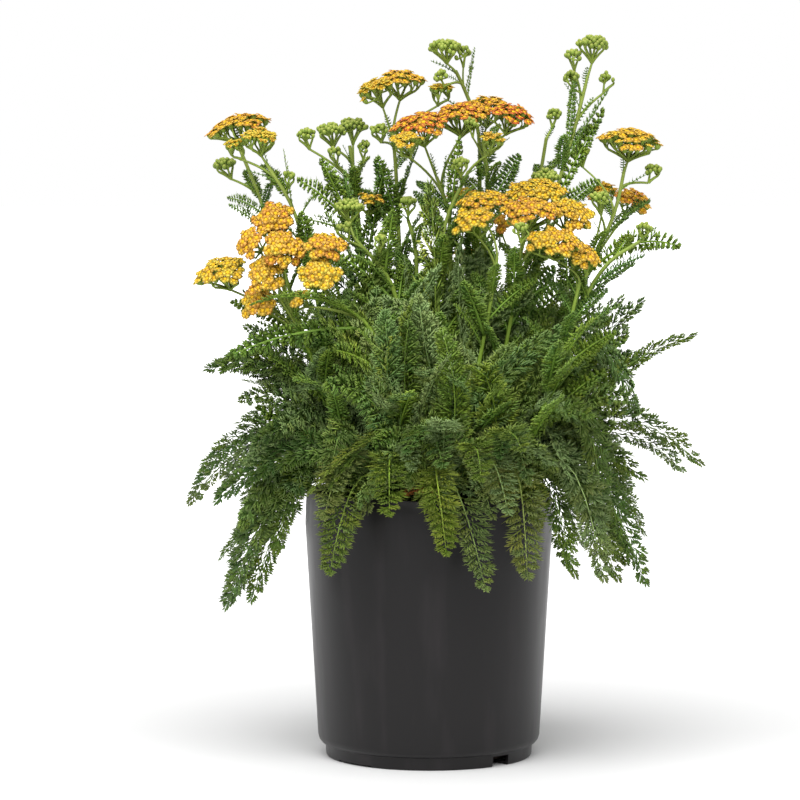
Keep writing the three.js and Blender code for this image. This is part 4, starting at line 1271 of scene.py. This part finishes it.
def open_flowers(heads):
    """Discs and rays of the heads given, with each point's warmth and how far out along a ray it lies."""
    points, triangles, warmths, outs = [], [], [], []
    count = 0
    for one, tops, sides, backs, ups in heads:
        rng = np.random.default_rng(int(1000 + abs(one["at"][0]) + 7 * abs(one["at"][1])))
        size = one["size"] * rng.uniform(*FLOWER_SIZES, (len(tops), 1))
        warmth = np.clip(one["warmth"] + rng.normal(0, WARMTH_SPREAD, len(tops)), 0, 1)
        shapes = [(DISC, sides, backs, ups, 0)]
        for k in range(RAY_COUNT):
            turn = 2 * math.pi * k / RAY_COUNT
            droop = rng.uniform(*RAY_DROOPS, (len(tops), 1)) + 3 * (1 - one["size"])
            run = unit(math.cos(turn) * sides + math.sin(turn) * backs + droop * ups)
            level = unit(np.cross(ups, run))
            width = rng.uniform(*RAY_WIDTHS, (len(tops), 1))
            shapes.append((RAY, run, level * width, np.cross(run, level), 1))
        for shape, x, y, z, is_ray in shapes:
            new_points, new_triangles = copies(shape, tops, x * size, y * size, z * size)
            points.append(new_points)
            triangles.append(new_triangles + count)
            count += len(new_points)
            warmths.append(np.repeat(warmth, len(shape[0])))
            out = np.clip((shape[0][:, 0] - RAY_FADE[0]) / RAY_FADE[1], 0, 1) * is_ray
            outs.append(np.tile(out, len(tops)))
    return [np.concatenate(part) for part in (points, triangles, warmths, outs)]


# Ray florets. Their cells stand up like velvet, so they are matt and let some light through. Yellow when they
# open, then peach and coral, while the middle stays golden.
def ray_velvet():
    material, tree = new_material("ray_velvet")
    warmth = add_node(tree, "Attribute", {}, attribute_name="warmth").outputs["Fac"]
    out = add_node(tree, "Attribute", {}, attribute_name="out").outputs["Fac"]
    to_peach = add_node(tree, "MapRange", {"Value": warmth, "From Max": 0.5}).outputs[0]
    to_coral = add_node(tree, "MapRange", {"Value": warmth, "From Min": 0.5}).outputs[0]
    peach_inputs = {0: to_peach, 6: linear("#ffe860"), 7: linear("#ffc45e")}
    peach = add_node(tree, "Mix", peach_inputs, data_type="RGBA").outputs[2]
    coral = add_node(tree, "Mix", {0: to_coral, 6: peach, 7: linear("#f67e4c")}, data_type="RGBA")
    gold_inputs = {0: out, 6: linear("#f0be28"), 7: coral.outputs[2]}
    colour = add_node(tree, "Mix", gold_inputs, data_type="RGBA").outputs[2]
    ray = add_node(
        tree,
        "BsdfPrincipled",
        {"Base Color": colour, "Roughness": 0.6, "Specular IOR Level": 0.1},
    )
    lit_through = add_node(tree, "BsdfTranslucent", {"Color": colour})
    surface = add_node(tree, "MixShader", {0: 0.2, 1: ray.outputs[0], 2: lit_through.outputs[0]})
    add_node(tree, "OutputMaterial", {"Surface": surface.outputs[0]})
    return material


def nearest_head(node):
    """The kind and the middle of the head whose solid the node is."""
    low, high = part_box(node)
    middle = np.array((low + high) / 2) / MM
    rows = [(kind, one["at"]) for kind in blooms for one, *_ in blooms[kind]]
    return min(rows, key=lambda row: np.linalg.norm(np.array(row[1]) - middle))


velvet = ray_velvet()
bloom_nodes = {node: nearest_head(node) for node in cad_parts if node.startswith("bloom")}
for kind, heads in blooms.items():
    for side, (low, high) in SIDES.items():
        chosen = [row for row in heads if low <= row[0]["at"][0] < high]
        points, triangles, warmths, outs = open_flowers(chosen)
        piece = piece_from(f"{kind}_flowers_{side}", points, triangles, velvet, warmth=warmths, out=outs)
        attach(piece, "root")
        nodes = [n for n, (its_kind, at) in bloom_nodes.items() if its_kind == kind and low <= at[0] < high]
        if nodes:
            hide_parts(*nodes)

# ---------------------------------------------------------------- floor and light
# A matt floor, painted darker in front of and round the pot as a broad painted shadow, and paler behind it
# with distance, where it fades into the surround; a white surround that is darker in front, and one broad
# soft light from above, in front and a little to the left.

FLOOR_SIZE = 40
FLOOR_PALES = (0.1, 1.5)  # the painted shadow near the pot fades to pale over these metres behind it
LIGHT_FROM = Vector((-0.12, -0.85, 1.15))
LIGHT_STRENGTH = 5.3
LIGHT_BREADTH = math.radians(70)

deselect_all()
bpy.ops.mesh.primitive_plane_add(size=FLOOR_SIZE)
floor = bpy.context.object
floor.name = "floor"
floor_painted_shade, floor_tree = new_material("floor_painted_shade")
spot = add_node(floor_tree, "TexCoord", {}).outputs["Object"]
depth = add_node(floor_tree, "SeparateXYZ", {0: spot}).outputs["Y"]
near, far = FLOOR_PALES
paler = add_node(floor_tree, "MapRange", {"Value": depth, "From Min": near, "From Max": far}).outputs[0]
# Painted shadow: the floor is grey in front of and round the pot, and pales to near white behind it.
sheet_inputs = {0: paler, 6: linear("#d0d0d0"), 7: linear("#fafafa")}
sheet = add_node(floor_tree, "Mix", sheet_inputs, data_type="RGBA")
paint = add_node(
    floor_tree,
    "BsdfPrincipled",
    {"Base Color": sheet.outputs[2], "Roughness": 1.0, "Specular IOR Level": 0.0},
)
add_node(floor_tree, "OutputMaterial", {"Surface": paint.outputs[0]})
floor.data.materials.append(floor_painted_shade)

world = bpy.data.worlds.new("white_surround")
world.use_nodes = True
world.node_tree.nodes.clear()
heading = add_node(world.node_tree, "TexCoord", {}).outputs["Generated"]
split = add_node(world.node_tree, "SeparateXYZ", {0: heading})
white = add_node(
    world.node_tree,
    "MapRange",
    {"Value": split.outputs["Y"], "From Min": -0.1, "From Max": 0.9, "To Min": 0.24, "To Max": 1.0},
)
surround = add_node(world.node_tree, "Background", {"Color": white.outputs[0]})
add_node(world.node_tree, "OutputWorld", {"Surface": surround.outputs[0]})
bpy.context.scene.world = world

soft_sun = bpy.data.objects.new("soft_light", bpy.data.lights.new("soft_light", "SUN"))
soft_sun.data.energy = LIGHT_STRENGTH
soft_sun.data.angle = LIGHT_BREADTH
soft_sun.rotation_euler = LIGHT_FROM.to_track_quat("Z", "Y").to_euler()
bpy.context.scene.collection.objects.link(soft_sun)
bpy.context.scene.view_settings.view_transform = "Standard"
